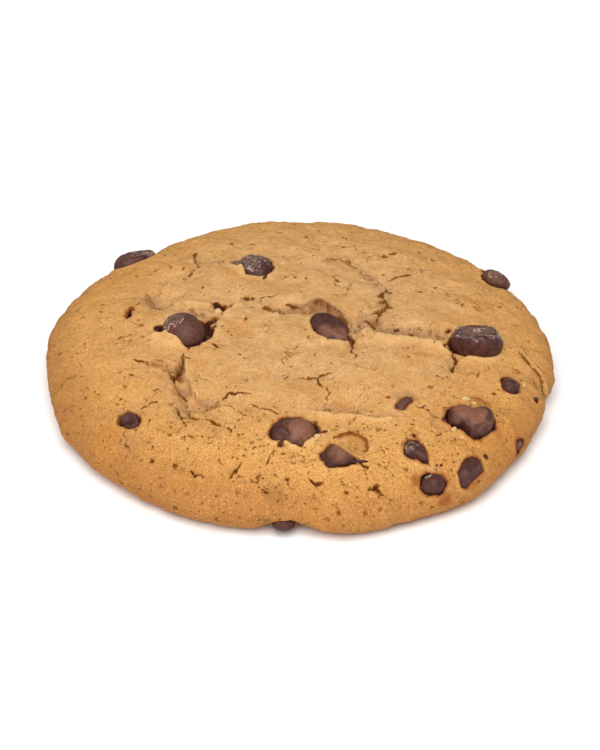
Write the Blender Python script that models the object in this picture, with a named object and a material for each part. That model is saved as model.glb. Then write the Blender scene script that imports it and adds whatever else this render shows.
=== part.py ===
"""Chocolate chip cookie: a thick, domed disc of baked dough with chocolate chips set in its top and rim.

Lengths are written in millimetres and turned into metres where a mesh is made. The cookie lies flat on
z = 0 and its box is centred on the Z axis. +X is to the right and -Y is the front.
"""

import math
from collections import namedtuple

import bmesh
import bpy
from mathutils import Euler, Matrix, Vector

MM = 0.001

# ---- The baked dough ----
RADIUS = 50.3            # mean radius of the rim at its widest
THICKNESS = 15.6         # underside to the middle of the dome
WAIST = 4.8              # height at which the rim is widest
FOOT_INSET = 6.0         # the flat underside stops this far inside the rim
DOME_FULLNESS = 2.3      # how long the dome stays level before it falls away
SHOULDER_FULLNESS = 2.35 # how squarely the dome turns into the rim

SEGMENTS = 72            # round the rim
TOP_RINGS = 20           # from the waist up to the middle
FOOT_RINGS = 4           # from the waist down to the flat underside
RING_CROWDING = 1.6      # above 1 the rings crowd towards the rim, where the form turns fastest

# Slow waves of the outline: lobes round the rim, height of each lobe, direction of its first crest (degrees)
OUTLINE_WAVES = ((2, 0.41, -22.0), (3, 0.31, 56.0), (5, 0.45, 16.0), (6, 0.27, -6.0))
# Short swells and dents of the rim: direction (degrees), half-width (degrees), height
RIM_SWELLS = (
    (5.0, 5.0, 0.4),
    (-5.0, 4.0, 0.6),
    (-12.6, 2.6, -1.3),      # the notch where two lobes of the rim meet
    (-19.0, 5.0, 0.3),
    (-50.0, 8.0, 0.6),
    (-79.0, 5.0, 0.5),
    (-93.0, 4.0, -1.3),      # the dent over the chip under the front
    (-153.0, 8.0, 0.7),
    (-171.0, 6.0, -0.4),
)

# Low hills and hollows of the top: centre x, y, radius, height
HILLS = (
    (-33.0, -12.0, 8.0, 0.4),
    (18.0, -13.0, 7.0, 0.5),
    (-5.0, -9.0, 9.0, 0.3),
    (-12.0, -34.0, 6.0, 0.5),
    (12.5, -5.0, 1.8, 0.5),
    (13.0, -0.5, 3.0, -1.3),
    (22.0, -2.5, 3.5, -0.7),
    (20.0, 6.0, 7.0, -0.4),
    (-19.0, -24.0, 3.5, -1.2),
    (-22.5, -15.0, 2.5, -0.7),
    (-28.5, 10.0, 3.0, -0.8),
    (-2.0, 5.5, 2.5, -0.9),
    (10.0, -25.5, 4.5, -0.7),
    (17.5, 16.0, 3.0, -0.7),
    (4.5, 5.5, 2.0, -1.0),
    (-31.0, 36.5, 4.0, -0.9),
)

# The deep cracks of the top: name, greatest width, greatest depth, and the line that each one follows
CRACKS = (
    ("crack_left", 1.5, 2.0,
     ((-21.3, -7.5), (-22.2, -11.0), (-23.4, -14.0), (-23.8, -17.5), (-22.2, -20.5), (-20.6, -23.6), (-18.5, -25.0))),
    ("crack_left_foot", 0.9, 1.1, ((-23.0, -24.0), (-22.4, -27.2), (-21.0, -29.6))),
    ("crack_lower_left", 0.9, 0.9, ((-20.5, -27.0), (-17.3, -28.7), (-14.6, -30.8), (-12.6, -33.0))),
    ("crack_upper_left", 1.0, 1.1, ((-21.9, 29.3), (-21.4, 25.6), (-20.8, 22.5), (-21.9, 19.6), (-23.6, 17.8))),
    ("crack_back_left", 0.9, 1.0, ((-26.4, 18.2), (-27.0, 15.8), (-27.9, 13.2))),
    ("crack_left_chip", 1.6, 1.8, ((-18.2, 0.6), (-16.8, 3.2), (-15.2, 7.0))),
    ("crack_between_chips", 1.6, 1.6, ((-7.2, 5.4), (-4.0, 4.6), (-1.0, 5.4), (2.4, 4.2))),
    ("crack_middle", 1.5, 2.2, ((9.4, -5.2), (10.4, -7.6), (10.3, -9.8), (10.8, -12.0))),
    ("crack_scarp", 1.8, 2.0,
     ((10.6, -3.2), (14.0, -4.4), (18.0, -4.2), (22.5, -4.8), (26.0, -5.5), (29.4, -5.2))),
    ("crack_right_chip", 1.0, 1.5, ((29.0, -6.0), (30.4, -9.0), (30.0, -11.6), (29.7, -14.2))),
    ("crack_back", 1.5, 1.5,
     ((12.6, -0.4), (15.0, 2.6), (17.1, 6.4), (17.9, 9.0), (16.9, 12.2), (18.1, 15.0), (21.0, 18.4), (23.2, 19.6))),
    ("crack_back_fork", 1.2, 1.0, ((17.4, 15.4), (15.4, 17.6), (12.2, 20.8), (9.6, 23.4), (5.6, 25.0))),
    ("crack_right_rim", 1.2, 1.3, ((43.6, -4.2), (46.0, -7.0), (47.6, -9.6), (48.2, -12.6))),
)
CRACK_END = 0.15         # a crack keeps this share of its width and depth at its two ends

# ---- The chocolate chips ----
GAP = 0.3                # clear space between a chip and the pocket it baked in

# x, y: place in plan. long, wide, tall: size. heading, pitch, roll: how it lies (degrees). rise: how far its
# highest point stands above the dough. flats: (direction, steepness, share of the half-size) of each flat side.
Chip = namedtuple("Chip", "name x y long wide tall heading pitch roll rise flats")
CHIPS = (
    Chip("chip_rim_back_left", -34.6, 31.0, 9.6, 5.8, 5.4, 24, 0, 0, 2.0, ((90, 78, 0.75), (205, 15, 0.9))),
    Chip("chip_rim_back_right", 40.8, 26.6, 7.4, 4.6, 4.6, -38, 0, 0, 1.7, ((80, 75, 0.8), (160, 20, 0.85))),
    Chip("chip_back", -9.1, 21.3, 9.2, 7.4, 6.0, -65, 0, 0, 1.4, ((250, 80, 0.5), (165, 15, 0.8))),
    Chip("chip_left_dome", -22.7, -2.3, 11.4, 8.6, 7.8, -48, 6, 0, 3.6, ((160, 50, 0.74), (20, 0, 0.88))),
    Chip("chip_middle", 5.9, -1.4, 10.4, 6.4, 6.0, -50, 6, 0, 1.7, ((70, 74, 0.66), (0, 15, 0.85))),
    Chip("chip_right_large", 34.8, -4.8, 10.6, 8.8, 8.0, 0, 0, 0, 4.0,
         ((85, 62, 0.55), (150, 8, 0.86), (330, 10, 0.9), (215, 10, 0.9))),
    Chip("chip_right_small", 40.7, -15.1, 3.7, 3.5, 3.8, 0, 0, 0, 1.1, ((80, 75, 0.6),)),
    Chip("chip_right_heart", 32.5, -27.1, 9.2, 8.2, 7.2, 25, 0, 0, 2.6, ((65, 72, 0.72), (60, 5, 0.85), (225, 10, 0.92))),
    Chip("chip_front_diamond", 19.8, -24.5, 5.2, 3.0, 3.2, 55, 0, 0, 0.6, ((90, 30, 0.75), (270, 30, 0.75))),
    Chip("chip_front_dome", -1.2, -32.7, 9.0, 7.6, 7.2, -10, 0, 0, 2.4, ((110, 68, 0.86), (190, 45, 0.62))),
    Chip("chip_front_wedge", 6.8, -38.0, 8.2, 6.0, 6.0, 5, 0, 0, 2.2, ((50, 42, 0.55), (150, 48, 0.66))),
    Chip("chip_front_drop", 21.7, -36.5, 6.8, 3.9, 4.2, -52, 10, 0, 1.0, ((90, 35, 0.8), (270, 60, 0.85))),
    Chip("chip_front_shard", 31.7, -37.7, 6.8, 4.0, 4.6, 48, 0, 0, 0.7, ((270, 50, 0.62), (0, 8, 0.8), (180, 8, 0.8))),
    Chip("chip_front_bead", 24.5, -42.2, 4.9, 3.8, 3.8, 5, 0, 0, 0.9, ((280, 60, 0.85),)),
    Chip("chip_left_flush", -31.8, -26.9, 4.9, 3.8, 3.2, -42, 0, 0, 0.4, ((0, 80, 0.6),)),
    Chip("chip_front_foot", -2.9, -46.7, 5.0, 4.4, 2.9, 0, 0, 0, None, ((90, 80, 0.8),)),
    Chip("chip_right_sliver", 41.7, -27.4, 3.2, 1.6, 2.2, 60, 0, 0, 0.4, ((270, 20, 0.7),)),
)
FOOT_CHIP_HEIGHT = 2.9   # middle of the chip that shows under the front of the rim, above the table
CHIP_SEGMENTS = 12       # round a chip
CHIP_RINGS = 8           # over a chip, from pole to pole
SMALL_CHIP = 5.0         # a chip no longer than this has fewer faces
SMALL_SEGMENTS = 10
SMALL_RINGS = 6

# Hollows that the dough left beside a chip as it rose: name, x, y, radius, height of the middle above the dough
HOLLOWS = (
    ("hollow_middle", 4.0, 4.6, 3.2, 0.8),
    ("hollow_left_dome", -18.4, -1.6, 2.4, 0.2),
    ("hollow_front_dome", -5.2, -33.4, 2.4, 0.6),
    ("hollow_front_wedge", 10.0, -36.0, 2.4, 0.8),
)
HOLLOW_SEGMENTS = 12
HOLLOW_RINGS = 8

DOUGH_COLOR = (0.64, 0.33, 0.11, 1.0)
CHOCOLATE_COLOR = (0.075, 0.034, 0.026, 1.0)


def clear_scene():
    for obj in list(bpy.data.objects):
        bpy.data.objects.remove(obj, do_unlink=True)


def principled(name, color, roughness):
    material = bpy.data.materials.new(name)
    material.use_nodes = True
    shader = material.node_tree.nodes["Principled BSDF"]
    shader.inputs["Base Color"].default_value = color
    shader.inputs["Roughness"].default_value = roughness
    shader.inputs["Metallic"].default_value = 0.0
    return material


def bell(distance, half_width):
    """A smooth hump: 1 at its middle, falling away over half_width."""
    return math.exp(-((distance / half_width) ** 2))


def rim_radius(angle):
    """Widest radius of the dough in one direction."""
    radius = RADIUS
    for lobes, height, crest in OUTLINE_WAVES:
        radius += height * math.cos(lobes * (angle - math.radians(crest)))
    for direction, half_width, height in RIM_SWELLS:
        turn = math.degrees(angle) - direction
        turn = (turn + 180.0) % 360.0 - 180.0
        radius += height * bell(turn, half_width)
    return radius


def relief(x, y):
    """Height that the hills and hollows add to the dome."""
    return sum(height * bell(math.hypot(x - hill_x, y - hill_y), radius)
               for hill_x, hill_y, radius, height in HILLS)


def dome_height(share):
    """Height of the plain dome; share is 0 at the rim and 1 in the middle."""
    fall = (1.0 - share) ** DOME_FULLNESS
    return WAIST + (THICKNESS - WAIST) * (1.0 - fall) ** (1.0 / SHOULDER_FULLNESS)


def surface_height(x, y):
    """Height of the dough's top at a place in plan."""
    share = 1.0 - math.hypot(x, y) / rim_radius(math.atan2(y, x))
    return dome_height(max(share, 0.0)) + relief(x, y)


def add_object(name, bm, material, parent):
    """Turn a bmesh in millimetres into an object in metres."""
    bmesh.ops.recalc_face_normals(bm, faces=bm.faces)
    bmesh.ops.scale(bm, vec=(MM, MM, MM), verts=bm.verts)
    mesh = bpy.data.meshes.new(name)
    bm.to_mesh(mesh)
    bm.free()
    mesh.materials.append(material)
    mesh.shade_smooth()
    mesh.set_sharp_from_angle(angle=math.radians(40.0))
    obj = bpy.data.objects.new(name, mesh)
    obj.parent = parent
    bpy.context.scene.collection.objects.link(obj)
    return obj


def make_cutter(obj):
    obj.hide_render = True
    obj.display_type = "WIRE"
    return obj


def carve(body, cutter):
    cut = body.modifiers.new(cutter.name, "BOOLEAN")
    cut.operation = "DIFFERENCE"
    cut.solver = "EXACT"
    cut.object = cutter


def dough_rings():
    """Each ring of the dough from the underside to the top: (inset from the rim, height of the plain form)."""
    rings = []
    for i in range(FOOT_RINGS):
        turn = math.radians(90.0) * (1.0 - i / FOOT_RINGS)
        rings.append((FOOT_INSET * (1.0 - math.cos(turn)), WAIST * (1.0 - math.sin(turn))))
    for i in range(TOP_RINGS):
        share = (i / TOP_RINGS) ** RING_CROWDING
        rings.append((RADIUS * share, dome_height(share)))
    return rings


def build_dough(material, parent):
    bm = bmesh.new()
    rows = []
    for inset, height in dough_rings():
        row = []
        for i in range(SEGMENTS):
            angle = math.tau * i / SEGMENTS
            reach = rim_radius(angle) * (1.0 - inset / RADIUS)
            x, y = reach * math.cos(angle), reach * math.sin(angle)
            lift = relief(x, y) * min(height / THICKNESS, 1.0)
            row.append(bm.verts.new((x, y, height + (lift if height > WAIST else 0.0))))
        rows.append(row)
    bm.faces.new(rows[0])
    for low, high in zip(rows, rows[1:]):
        for i in range(SEGMENTS):
            j = (i + 1) % SEGMENTS
            bm.faces.new((low[i], low[j], high[j], high[i]))
    peak = bm.verts.new((0.0, 0.0, surface_height(0.0, 0.0)))
    for i in range(SEGMENTS):
        bm.faces.new((rows[-1][i], rows[-1][(i + 1) % SEGMENTS], peak))
    return add_object("dough", bm, material, parent)


def chip_lump(chip, grow):
    """One chip at its size about the origin, every face pushed out by grow: a rounded lump with flat sides."""
    small = chip.long <= SMALL_CHIP
    bm = bmesh.new()
    bmesh.ops.create_uvsphere(bm, u_segments=SMALL_SEGMENTS if small else CHIP_SEGMENTS,
                              v_segments=SMALL_RINGS if small else CHIP_RINGS, radius=1.0)
    half = Vector((chip.long, chip.wide, chip.tall)) / 2.0
    grown = half + Vector((grow, grow, grow))
    bmesh.ops.scale(bm, vec=grown, verts=bm.verts)
    for direction, steepness, share in chip.flats:
        turn, lift = math.radians(direction), math.radians(steepness)
        normal = Vector((math.cos(turn) * math.cos(lift), math.sin(turn) * math.cos(lift), math.sin(lift)))
        reach = share * Vector((half.x * normal.x, half.y * normal.y, half.z * normal.z)).length + grow
        geometry = bm.verts[:] + bm.edges[:] + bm.faces[:]
        cut = bmesh.ops.bisect_plane(bm, geom=geometry, plane_co=normal * reach, plane_no=normal, clear_outer=True)
        rim = [item for item in cut["geom_cut"] if isinstance(item, bmesh.types.BMEdge)]
        bmesh.ops.edgeloop_fill(bm, edges=rim)
    lie = Euler([math.radians(a) for a in (chip.roll, chip.pitch, chip.heading)]).to_matrix()
    bmesh.ops.rotate(bm, matrix=lie, verts=bm.verts)
    return bm


def chip_place(chip):
    """Where the chip's middle sits, so that its highest point stands by its rise above the dough."""
    if chip.rise is None:
        return Vector((chip.x, chip.y, FOOT_CHIP_HEIGHT))
    lump = chip_lump(chip, 0.0)
    top = max(vert.co.z for vert in lump.verts)
    lump.free()
    return Vector((chip.x, chip.y, surface_height(chip.x, chip.y) + chip.rise - top))


def build_chip(chip, material, parent):
    place = chip_place(chip)
    pieces = []
    for name, grow in ((chip.name, 0.0), (chip.name.replace("chip", "pocket"), GAP)):
        bm = chip_lump(chip, grow)
        bmesh.ops.translate(bm, vec=place, verts=bm.verts)
        pieces.append(add_object(name, bm, material, parent))
    solid, pocket = pieces
    return solid, make_cutter(pocket)


def build_hollow(name, x, y, radius, height, material, parent):
    bm = bmesh.new()
    bmesh.ops.create_uvsphere(bm, u_segments=HOLLOW_SEGMENTS, v_segments=HOLLOW_RINGS, radius=radius)
    bmesh.ops.translate(bm, vec=(x, y, surface_height(x, y) + height), verts=bm.verts)
    return make_cutter(add_object(name, bm, material, parent))


def build_crack(name, width, depth, path, material, parent):
    """A wedge-shaped blade along the crack's line, thin at both ends, that stands out above the dough."""
    bm = bmesh.new()
    last = len(path) - 1
    sections = []
    for i, (x, y) in enumerate(path):
        before, after = Vector(path[max(i - 1, 0)]), Vector(path[min(i + 1, last)])
        along = (after - before).normalized()
        across = Vector((-along.y, along.x))
        swell = CRACK_END + (1.0 - CRACK_END) * math.sin(math.pi * i / last)
        top = surface_height(x, y)
        half = across * width * swell      # twice the half-width, because the blade rises by its own depth again
        sections.append([bm.verts.new((x - half.x, y - half.y, top + depth * swell)),
                         bm.verts.new((x + half.x, y + half.y, top + depth * swell)),
                         bm.verts.new((x, y, top - depth * swell))])
    for here, there in zip(sections, sections[1:]):
        for i in range(3):
            j = (i + 1) % 3
            bm.faces.new((here[i], here[j], there[j], there[i]))
    bm.faces.new(sections[0])
    bm.faces.new(sections[-1][::-1])
    bmesh.ops.triangulate(bm, faces=bm.faces)
    return make_cutter(add_object(name, bm, material, parent))


def centre_on_axis(origin, pieces):
    """Move the empty so that the box of all the pieces is centred on the Z axis."""
    points = [vert.co for piece in pieces for vert in piece.data.vertices]
    for axis in range(2):
        values = [point[axis] for point in points]
        origin.location[axis] = -(min(values) + max(values)) / 2.0


def main():
    clear_scene()
    dough_finish = principled("baked_dough", DOUGH_COLOR, 0.75)
    chip_finish = principled("dark_chocolate", CHOCOLATE_COLOR, 0.4)

    origin = bpy.data.objects.new("cookie_centre", None)
    bpy.context.scene.collection.objects.link(origin)

    dough = build_dough(dough_finish, origin)
    for crack in CRACKS:
        carve(dough, build_crack(*crack, dough_finish, origin))
    for hollow in HOLLOWS:
        carve(dough, build_hollow(*hollow, dough_finish, origin))
    chips = []
    for chip in CHIPS:
        solid, pocket = build_chip(chip, chip_finish, origin)
        carve(dough, pocket)
        chips.append(solid)
    centre_on_axis(origin, [dough] + chips)


main()
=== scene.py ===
# %% [markdown]
# # A chocolate chip cookie
# The cookie is a thick disc of baked dough, about as wide as a hand, with chips of dark chocolate set in it.
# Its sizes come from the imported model, which is loaded first and never changed. The sentences before each
# cell say what the next piece is on the real cookie, how it could be made, and why this way was chosen.
# Lengths are in millimetres until a mesh is finished, and +X is right, -Y is the front, +Z is up.

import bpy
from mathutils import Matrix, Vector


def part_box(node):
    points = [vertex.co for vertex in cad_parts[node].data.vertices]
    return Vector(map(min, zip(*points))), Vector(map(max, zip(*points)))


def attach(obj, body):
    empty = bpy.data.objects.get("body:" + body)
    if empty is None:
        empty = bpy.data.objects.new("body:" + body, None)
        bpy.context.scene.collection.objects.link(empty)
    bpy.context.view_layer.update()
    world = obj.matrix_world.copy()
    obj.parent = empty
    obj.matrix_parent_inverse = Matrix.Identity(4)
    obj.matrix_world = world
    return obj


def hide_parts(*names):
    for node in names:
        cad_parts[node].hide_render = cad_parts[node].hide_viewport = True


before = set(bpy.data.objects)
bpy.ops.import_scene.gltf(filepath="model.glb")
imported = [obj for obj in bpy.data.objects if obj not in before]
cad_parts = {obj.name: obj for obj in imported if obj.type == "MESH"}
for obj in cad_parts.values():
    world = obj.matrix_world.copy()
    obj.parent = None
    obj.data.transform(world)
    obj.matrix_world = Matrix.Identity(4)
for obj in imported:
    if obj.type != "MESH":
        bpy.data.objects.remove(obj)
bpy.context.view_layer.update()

# %% Tools of the trade
import math
import random
from collections import namedtuple

import bpy
import numpy as np
from mathutils import Euler, Vector, bvhtree, kdtree, noise

MM = 0.001
CHANCE = random.Random(20)

# %% [markdown]
# ## The form of the dough
# A ball of dough slumps in the oven: it spreads into a dome, the rim rolls over, and the foot sets where the
# tray carries it. One curve for the dome, one for the rolled foot and a slightly wavy outline give all of it.
# The same named sizes as the solid model's keep the two in step.

# %% Sizes of the dough
RADIUS = 50.3             # mean radius of the rim at its widest
THICKNESS = 15.6          # underside to the middle of the dome
WAIST = 4.8               # height at which the rim is widest
FOOT_INSET = 6.0          # the flat underside stops this far inside the rim
DOME_FULLNESS = 2.3
SHOULDER_FULLNESS = 2.35

# lobes round the rim, height of a lobe, direction of the first crest in degrees
OUTLINE_WAVES = ((2, 0.41, -22), (3, 0.31, 56), (5, 0.45, 16), (6, 0.27, -6))
# direction in degrees, half-width in degrees, height
RIM_SWELLS = ((5, 5, 0.4), (-5, 4, 0.6), (-12.6, 2.6, -1.3), (-19, 5, 0.3), (-50, 8, 0.6),
              (-79, 5, 0.5), (-66, 6, -0.8), (-92.5, 6, -1.3), (-130, 9, -0.9), (-153, 8, 0.7), (-171, 6, -0.4))


def bell(distance, half_width):
    """A smooth hump: 1 in the middle, nearly gone at twice the half-width."""
    return np.exp(-(distance / half_width) ** 2)


def ease(value, low, high):
    """0 at low, 1 at high, with a soft start and end."""
    t = np.clip((value - low) / (high - low), 0.0, 1.0)
    return t * t * (3.0 - 2.0 * t)


def rim_radius(angle):
    radius = np.full(np.shape(angle), RADIUS)
    for lobes, height, crest in OUTLINE_WAVES:
        radius = radius + height * np.cos(lobes * (angle - math.radians(crest)))
    for direction, half_width, height in RIM_SWELLS:
        turn = (np.degrees(angle) - direction + 180.0) % 360.0 - 180.0
        radius = radius + height * bell(turn, half_width)
    return radius


def dome_height(share):
    """Height of the plain dome; share is 0 at the rim and 1 in the middle."""
    fall = (1.0 - share) ** DOME_FULLNESS
    return WAIST + (THICKNESS - WAIST) * (1.0 - fall) ** (1.0 / SHOULDER_FULLNESS)


# %% [markdown]
# The top is not one clean dome. It sank between the chips and cracked, so broad low hills and hollows come
# before any fine detail: they are what the light picks out first.

# %% Hills and hollows of the top
# centre x, y, radius, height
HILLS = (
    (-33, -12, 8, 0.4), (18, -13, 7, 0.5), (-5, -9, 9, 0.3), (-12, -34, 6, 0.5), (12.4, -5.0, 1.4, 1.9),
    (13, -0.5, 3, -1.3), (22, -2.5, 3.5, -0.7), (20, 6, 7, -0.4), (-19, -24, 3.5, -1.2),
    (-22.5, -15, 2.5, -0.7), (-28.5, 10, 3, -0.8), (-2, 5.5, 2.5, -0.9), (10, -25.5, 4.5, -0.7),
    (17.5, 16, 3, -0.7), (4.5, 5.5, 2, -0.6), (-31, 36.5, 4, -0.9), (40.0, 23.4, 3.0, -1.5),
)


def relief(x, y):
    lift = np.zeros(np.shape(x))
    for hill_x, hill_y, radius, height in HILLS:
        lift = lift + height * bell(np.hypot(x - hill_x, y - hill_y), radius)
    return lift


def top_height(x, y):
    share = 1.0 - np.hypot(x, y) / rim_radius(np.arctan2(y, x))
    return dome_height(np.clip(share, 0.0, 1.0)) + relief(x, y)


print("middle of the dome:", round(float(top_height(0.0, 0.0)), 2), "mm")

# %% [markdown]
# The form above is drawn about the dough's own middle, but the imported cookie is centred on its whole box.
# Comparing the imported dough's box with the outline's own box gives the small step between the two.

# %% Where the dough's middle sits in the frame
SPOKES = 72
spoke = np.arange(SPOKES) * math.tau / SPOKES
rim_x = rim_radius(spoke) * np.cos(spoke)
rim_y = rim_radius(spoke) * np.sin(spoke)
dough_low, dough_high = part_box("dough")
SHIFT = Vector(((dough_low[0] + dough_high[0]) / 2 / MM - (rim_x.min() + rim_x.max()) / 2,
                (dough_low[1] + dough_high[1]) / 2 / MM - (rim_y.min() + rim_y.max()) / 2, 0.0))
print("step from the dough's middle to the frame, mm:", [round(v, 3) for v in SHIFT])

# %% [markdown]
# ## The chocolate chips
# Each chip is a melted and set drop of dark chocolate: a rounded lump with a few flat or dented sides, no two
# alike. They could be carved from spheres or from clay. Clay is closer to the real thing: a ball is pressed to
# size, its flats are sliced off with the Bisect tool, small lumps are added, and Voxel Remesh melts them into
# one skin of even faces. Smoothing then rounds every edge as warm chocolate does.
#
# The table keeps the sizes of the imported chips. A lump or a dent is placed from the chip's middle in plan.

# %% What each chip is like
# size: long, wide, tall.  lie: pitch and heading in degrees.  flats: direction, steepness, share of half-size.
# lumps: x, y, z, long, wide, tall.  dents: x, y, z, radius, depth.  soft: how often it is smoothed.
# milk_and_light: x, y, radius, strength of a warm brown patch on the upper side, partly the chip's own tone, partly
# painted light; bloom: the same for a grey patch.
# gaps: direction, half-angle, width, depth of an open crevice beside it.  tucks: direction, half-angle, width and
# height of the dough that laps over it.
# stain: how far melted chocolate crept into the dough.  hangs: it sits under the rim, and the skin has no socket.
CHIPS = {
    "chip_rim_back_left": dict(
        size=(9.6, 5.6, 5.2), lie=(0, 24), flats=((90, 78, 0.75), (205, 15, 0.9)),
        lumps=((2.6, 1.3, 0.9, 3.4, 3.0, 2.8), (4.0, 1.4, -0.6, 3.0, 1.6, 1.6)),
        dents=((-3.6, -1.8, 1.6, 1.5, 0.4),), milk_and_light=((-1.5, 0, 3.5, 0.2),),
        bloom=((2.8, 1.2, 1.6, 1.0), (0.4, 0.6, 1.4, 0.55))),
    "chip_rim_back_right": dict(
        size=(7.4, 4.6, 4.6), lie=(0, -38), flats=((80, 75, 0.8), (160, 20, 0.85)),
        dents=((1.4, -0.6, 2.2, 1.2, 0.4),), milk_and_light=((0, 0, 4, 0.4),), bloom=((0.4, -0.2, 1.6, 0.8),),
        gaps=((-100, 70, 1.4, 1.8),), stain=0.5),
    "chip_back": dict(
        size=(8.6, 7.2, 6.2), lie=(0, -65), flats=((165, 15, 0.85), (90, 82, 0.8)),
        lumps=((-3.6, 2.0, -0.2, 4.4, 2.4, 2.2), (2.2, 0.2, 0.5, 3.0, 5.8, 3.4)),
        dents=((-0.6, -0.2, 2.6, 1.8, 0.55), (-2.6, -2.8, 0.6, 1.2, 0.5)),
        bloom=((-0.4, 0.2, 3.0, 0.9), (-4.2, 1.8, 2.4, 1.0), (1.8, 1.6, 1.6, 0.8)),
        tucks=((215, 40, 0.6, 0.6),), gaps=((-35, 40, 0.35, 0.8), (240, 20, 0.4, 1.0)), stain=0.2),
    "chip_left_dome": dict(
        size=(9.6, 8.0, 7.8), lie=(6, -50), flats=((160, 60, 0.95),),
        lumps=((3.9, 0.5, -2.4, 4.0, 4.4, 2.4), (-4.2, -0.8, -1.7, 3.0, 2.0, 1.8)), milk_and_light=((0.5, 0, 6, 0.25),),
        bloom=((-1.7, 0.1, 2.2, 0.66),),
        tucks=((226, 45, 0.6, 1.3),), gaps=((-62, 28, 0.6, 1.6), (5, 42, 1.5, 2.2), (170, 18, 0.7, 1.2)), stain=0.4),
    "chip_middle": dict(
        size=(9.8, 6.6, 6.0), lie=(6, -50), flats=((70, 74, 0.66),), lumps=((2.9, -3.5, -0.6, 3.2, 3.0, 3.4),),
        dents=((-1.2, 0.6, 2.2, 1.6, 0.35), (2.6, -1.8, 1.2, 1.0, 0.3)), milk_and_light=((2.0, -2.6, 1.9, 0.9), (-0.8, -2.2, 1.6, 0.7)),
        gaps=((50, 55, 0.6, 1.0), (-60, 25, 0.35, 1.2), (-125, 45, 0.3, 1.0)), stain=0.12),
    "chip_right_large": dict(
        size=(10.6, 8.8, 10.0), lie=(0, 0), soft=10,
        flats=((86, 76, 0.34), (165, 34, 0.84), (12, 42, 0.72), (215, 12, 0.9)),
        dents=((-1.6, 0.4, 2.8, 1.8, 0.3), (0.6, -2.6, 2.6, 1.2, 0.6), (-3.0, -2.0, 2.2, 1.0, 0.4)), milk_and_light=((0, 1.8, 2.8, 0.4),),
        bloom=((-2.0, 0.2, 2.9, 0.75), (2.4, 0.8, 2.6, 0.7), (-0.2, -2.6, 1.3, 0.75), (2.6, -2.2, 1.0, 0.7)), tucks=((-80, 50, 0.2, 0.5),),
        gaps=((180, 35, 0.3, 1.0),), stain=0.2),
    "chip_right_small": dict(
        size=(3.7, 3.9, 4.0), lie=(0, 0), flats=((90, 62, 0.85),), milk_and_light=((-0.4, 0.8, 1.0, 0.5),),
        gaps=((90, 70, 0.3, 0.8), (-90, 60, 0.25, 0.8)), stain=0.5),
    "chip_right_heart": dict(
        size=(9.2, 7.4, 6.2), lie=(0, 25), flats=((215, 12, 0.76), (60, 5, 0.88)),
        lumps=((-1.7, 0.5, 0.8, 5.6, 6.0, 5.8), (2.1, 0.7, 0.6, 4.8, 5.8, 5.4)), soft=8,
        dents=((0.6, 3.4, 2.6, 0.9, 1.0), (-2.6, -3.0, 0.6, 1.8, 0.8)),
        milk_and_light=((-1.3, 0.9, 2.7, 1.0), (1.2, -0.4, 2.5, 1.0)),
        gaps=((195, 45, 0.5, 1.4), (20, 25, 0.2, 0.6), (-100, 40, 0.4, 1.2)), stain=0.75),
    "chip_front_diamond": dict(
        size=(5.2, 3.2, 3.4), lie=(0, 55), flats=((90, 30, 0.8), (270, 30, 0.8)), milk_and_light=((0, 0, 2, 0.35),), stain=0.3),
    "chip_front_dome": dict(
        size=(9.4, 7.6, 7.0), lie=(0, -10), flats=((110, 68, 0.86), (200, 38, 0.66)),
        lumps=((1.2, -0.2, 0.5, 6.4, 6.2, 6.2), (-2.2, 0.2, -0.4, 4.8, 6.4, 5.6)),
        dents=((-1.3, -1.6, 2.2, 0.8, 0.8), (-1.2, -2.8, 0.6, 0.9, 0.7)), milk_and_light=((1.8, -0.9, 3.1, 1.0),),
        tucks=((-45, 22, 0.3, 0.5), (-110, 40, 0.8, 0.2)),
        gaps=((-105, 45, 0.3, 1.2), (10, 25, 0.5, 1.2), (200, 30, 0.2, 0.8)), stain=0.5),
    "chip_front_wedge": dict(
        size=(8.2, 6.0, 6.0), lie=(0, 5), flats=((42, 34, 0.4), (150, 48, 0.62), (215, 35, 0.62)), soft=6,
        dents=((-1.6, -1.4, 2.2, 0.7, 0.35),), milk_and_light=((1.0, -0.6, 2.6, 0.8),),
        gaps=((-85, 70, 0.4, 1.0), (200, 20, 0.4, 0.8)), stain=0.25),
    "chip_front_drop": dict(
        size=(7.4, 4.4, 4.4), lie=(10, -52), flats=((62, 8, 0.6), (-60, 8, 0.6), (90, 60, 0.9)), soft=8,
        bloom=((-1.3, 0.6, 1.4, 0.85),), gaps=((215, 50, 0.3, 0.9), (100, 30, 0.2, 0.7)), stain=0.5),
    "chip_front_shard": dict(
        size=(8.2, 5.6, 5.3), lie=(0, 54), soft=2,
        flats=((-107, 52, 0.94), (-30, 8, 0.72), (-97, 8, 0.58), (156, 8, 0.84), (101, 8, 0.58)), stain=0.35),
    "chip_front_bead": dict(
        size=(4.9, 3.8, 3.8), lie=(0, 5), flats=((280, 60, 0.85),), lumps=((0.4, 0, 0.3, 3.8, 3.8, 3.6),),
        bloom=((-0.6, 0.8, 0.9, 0.4),), gaps=((180, 60, 0.3, 0.7), (-60, 60, 0.2, 0.6)), stain=0.65),
    "chip_left_flush": dict(
        size=(4.5, 3.5, 4.4), lie=(0, -42), flats=((-95, 58, 0.62),),
        dents=((-0.3, -0.3, 1.2, 0.7, 0.7), (0.9, 0.2, 1.2, 0.5, 0.5)), gaps=((150, 60, 0.5, 1.0), (-60, 90, 0.15, 0.6)), stain=0.35),
    "chip_front_foot": dict(
        size=(4.4, 3.2, 2.9), lie=(0, 0), flats=((0, 80, 0.9),), soft=4, hangs=True),
    "chip_right_sliver": dict(size=(2.6, 1.2, 2.0), lie=(0, 60), flats=((270, 20, 0.8),), milk_and_light=((0, 0, 3, 0.5),), stain=0.8),
}


# %% Helpers for modelling by hand
def only(obj):
    """Deselect everything, then take one object in hand."""
    bpy.ops.object.select_all(action="DESELECT")
    obj.select_set(True)
    bpy.context.view_layer.objects.active = obj


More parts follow.
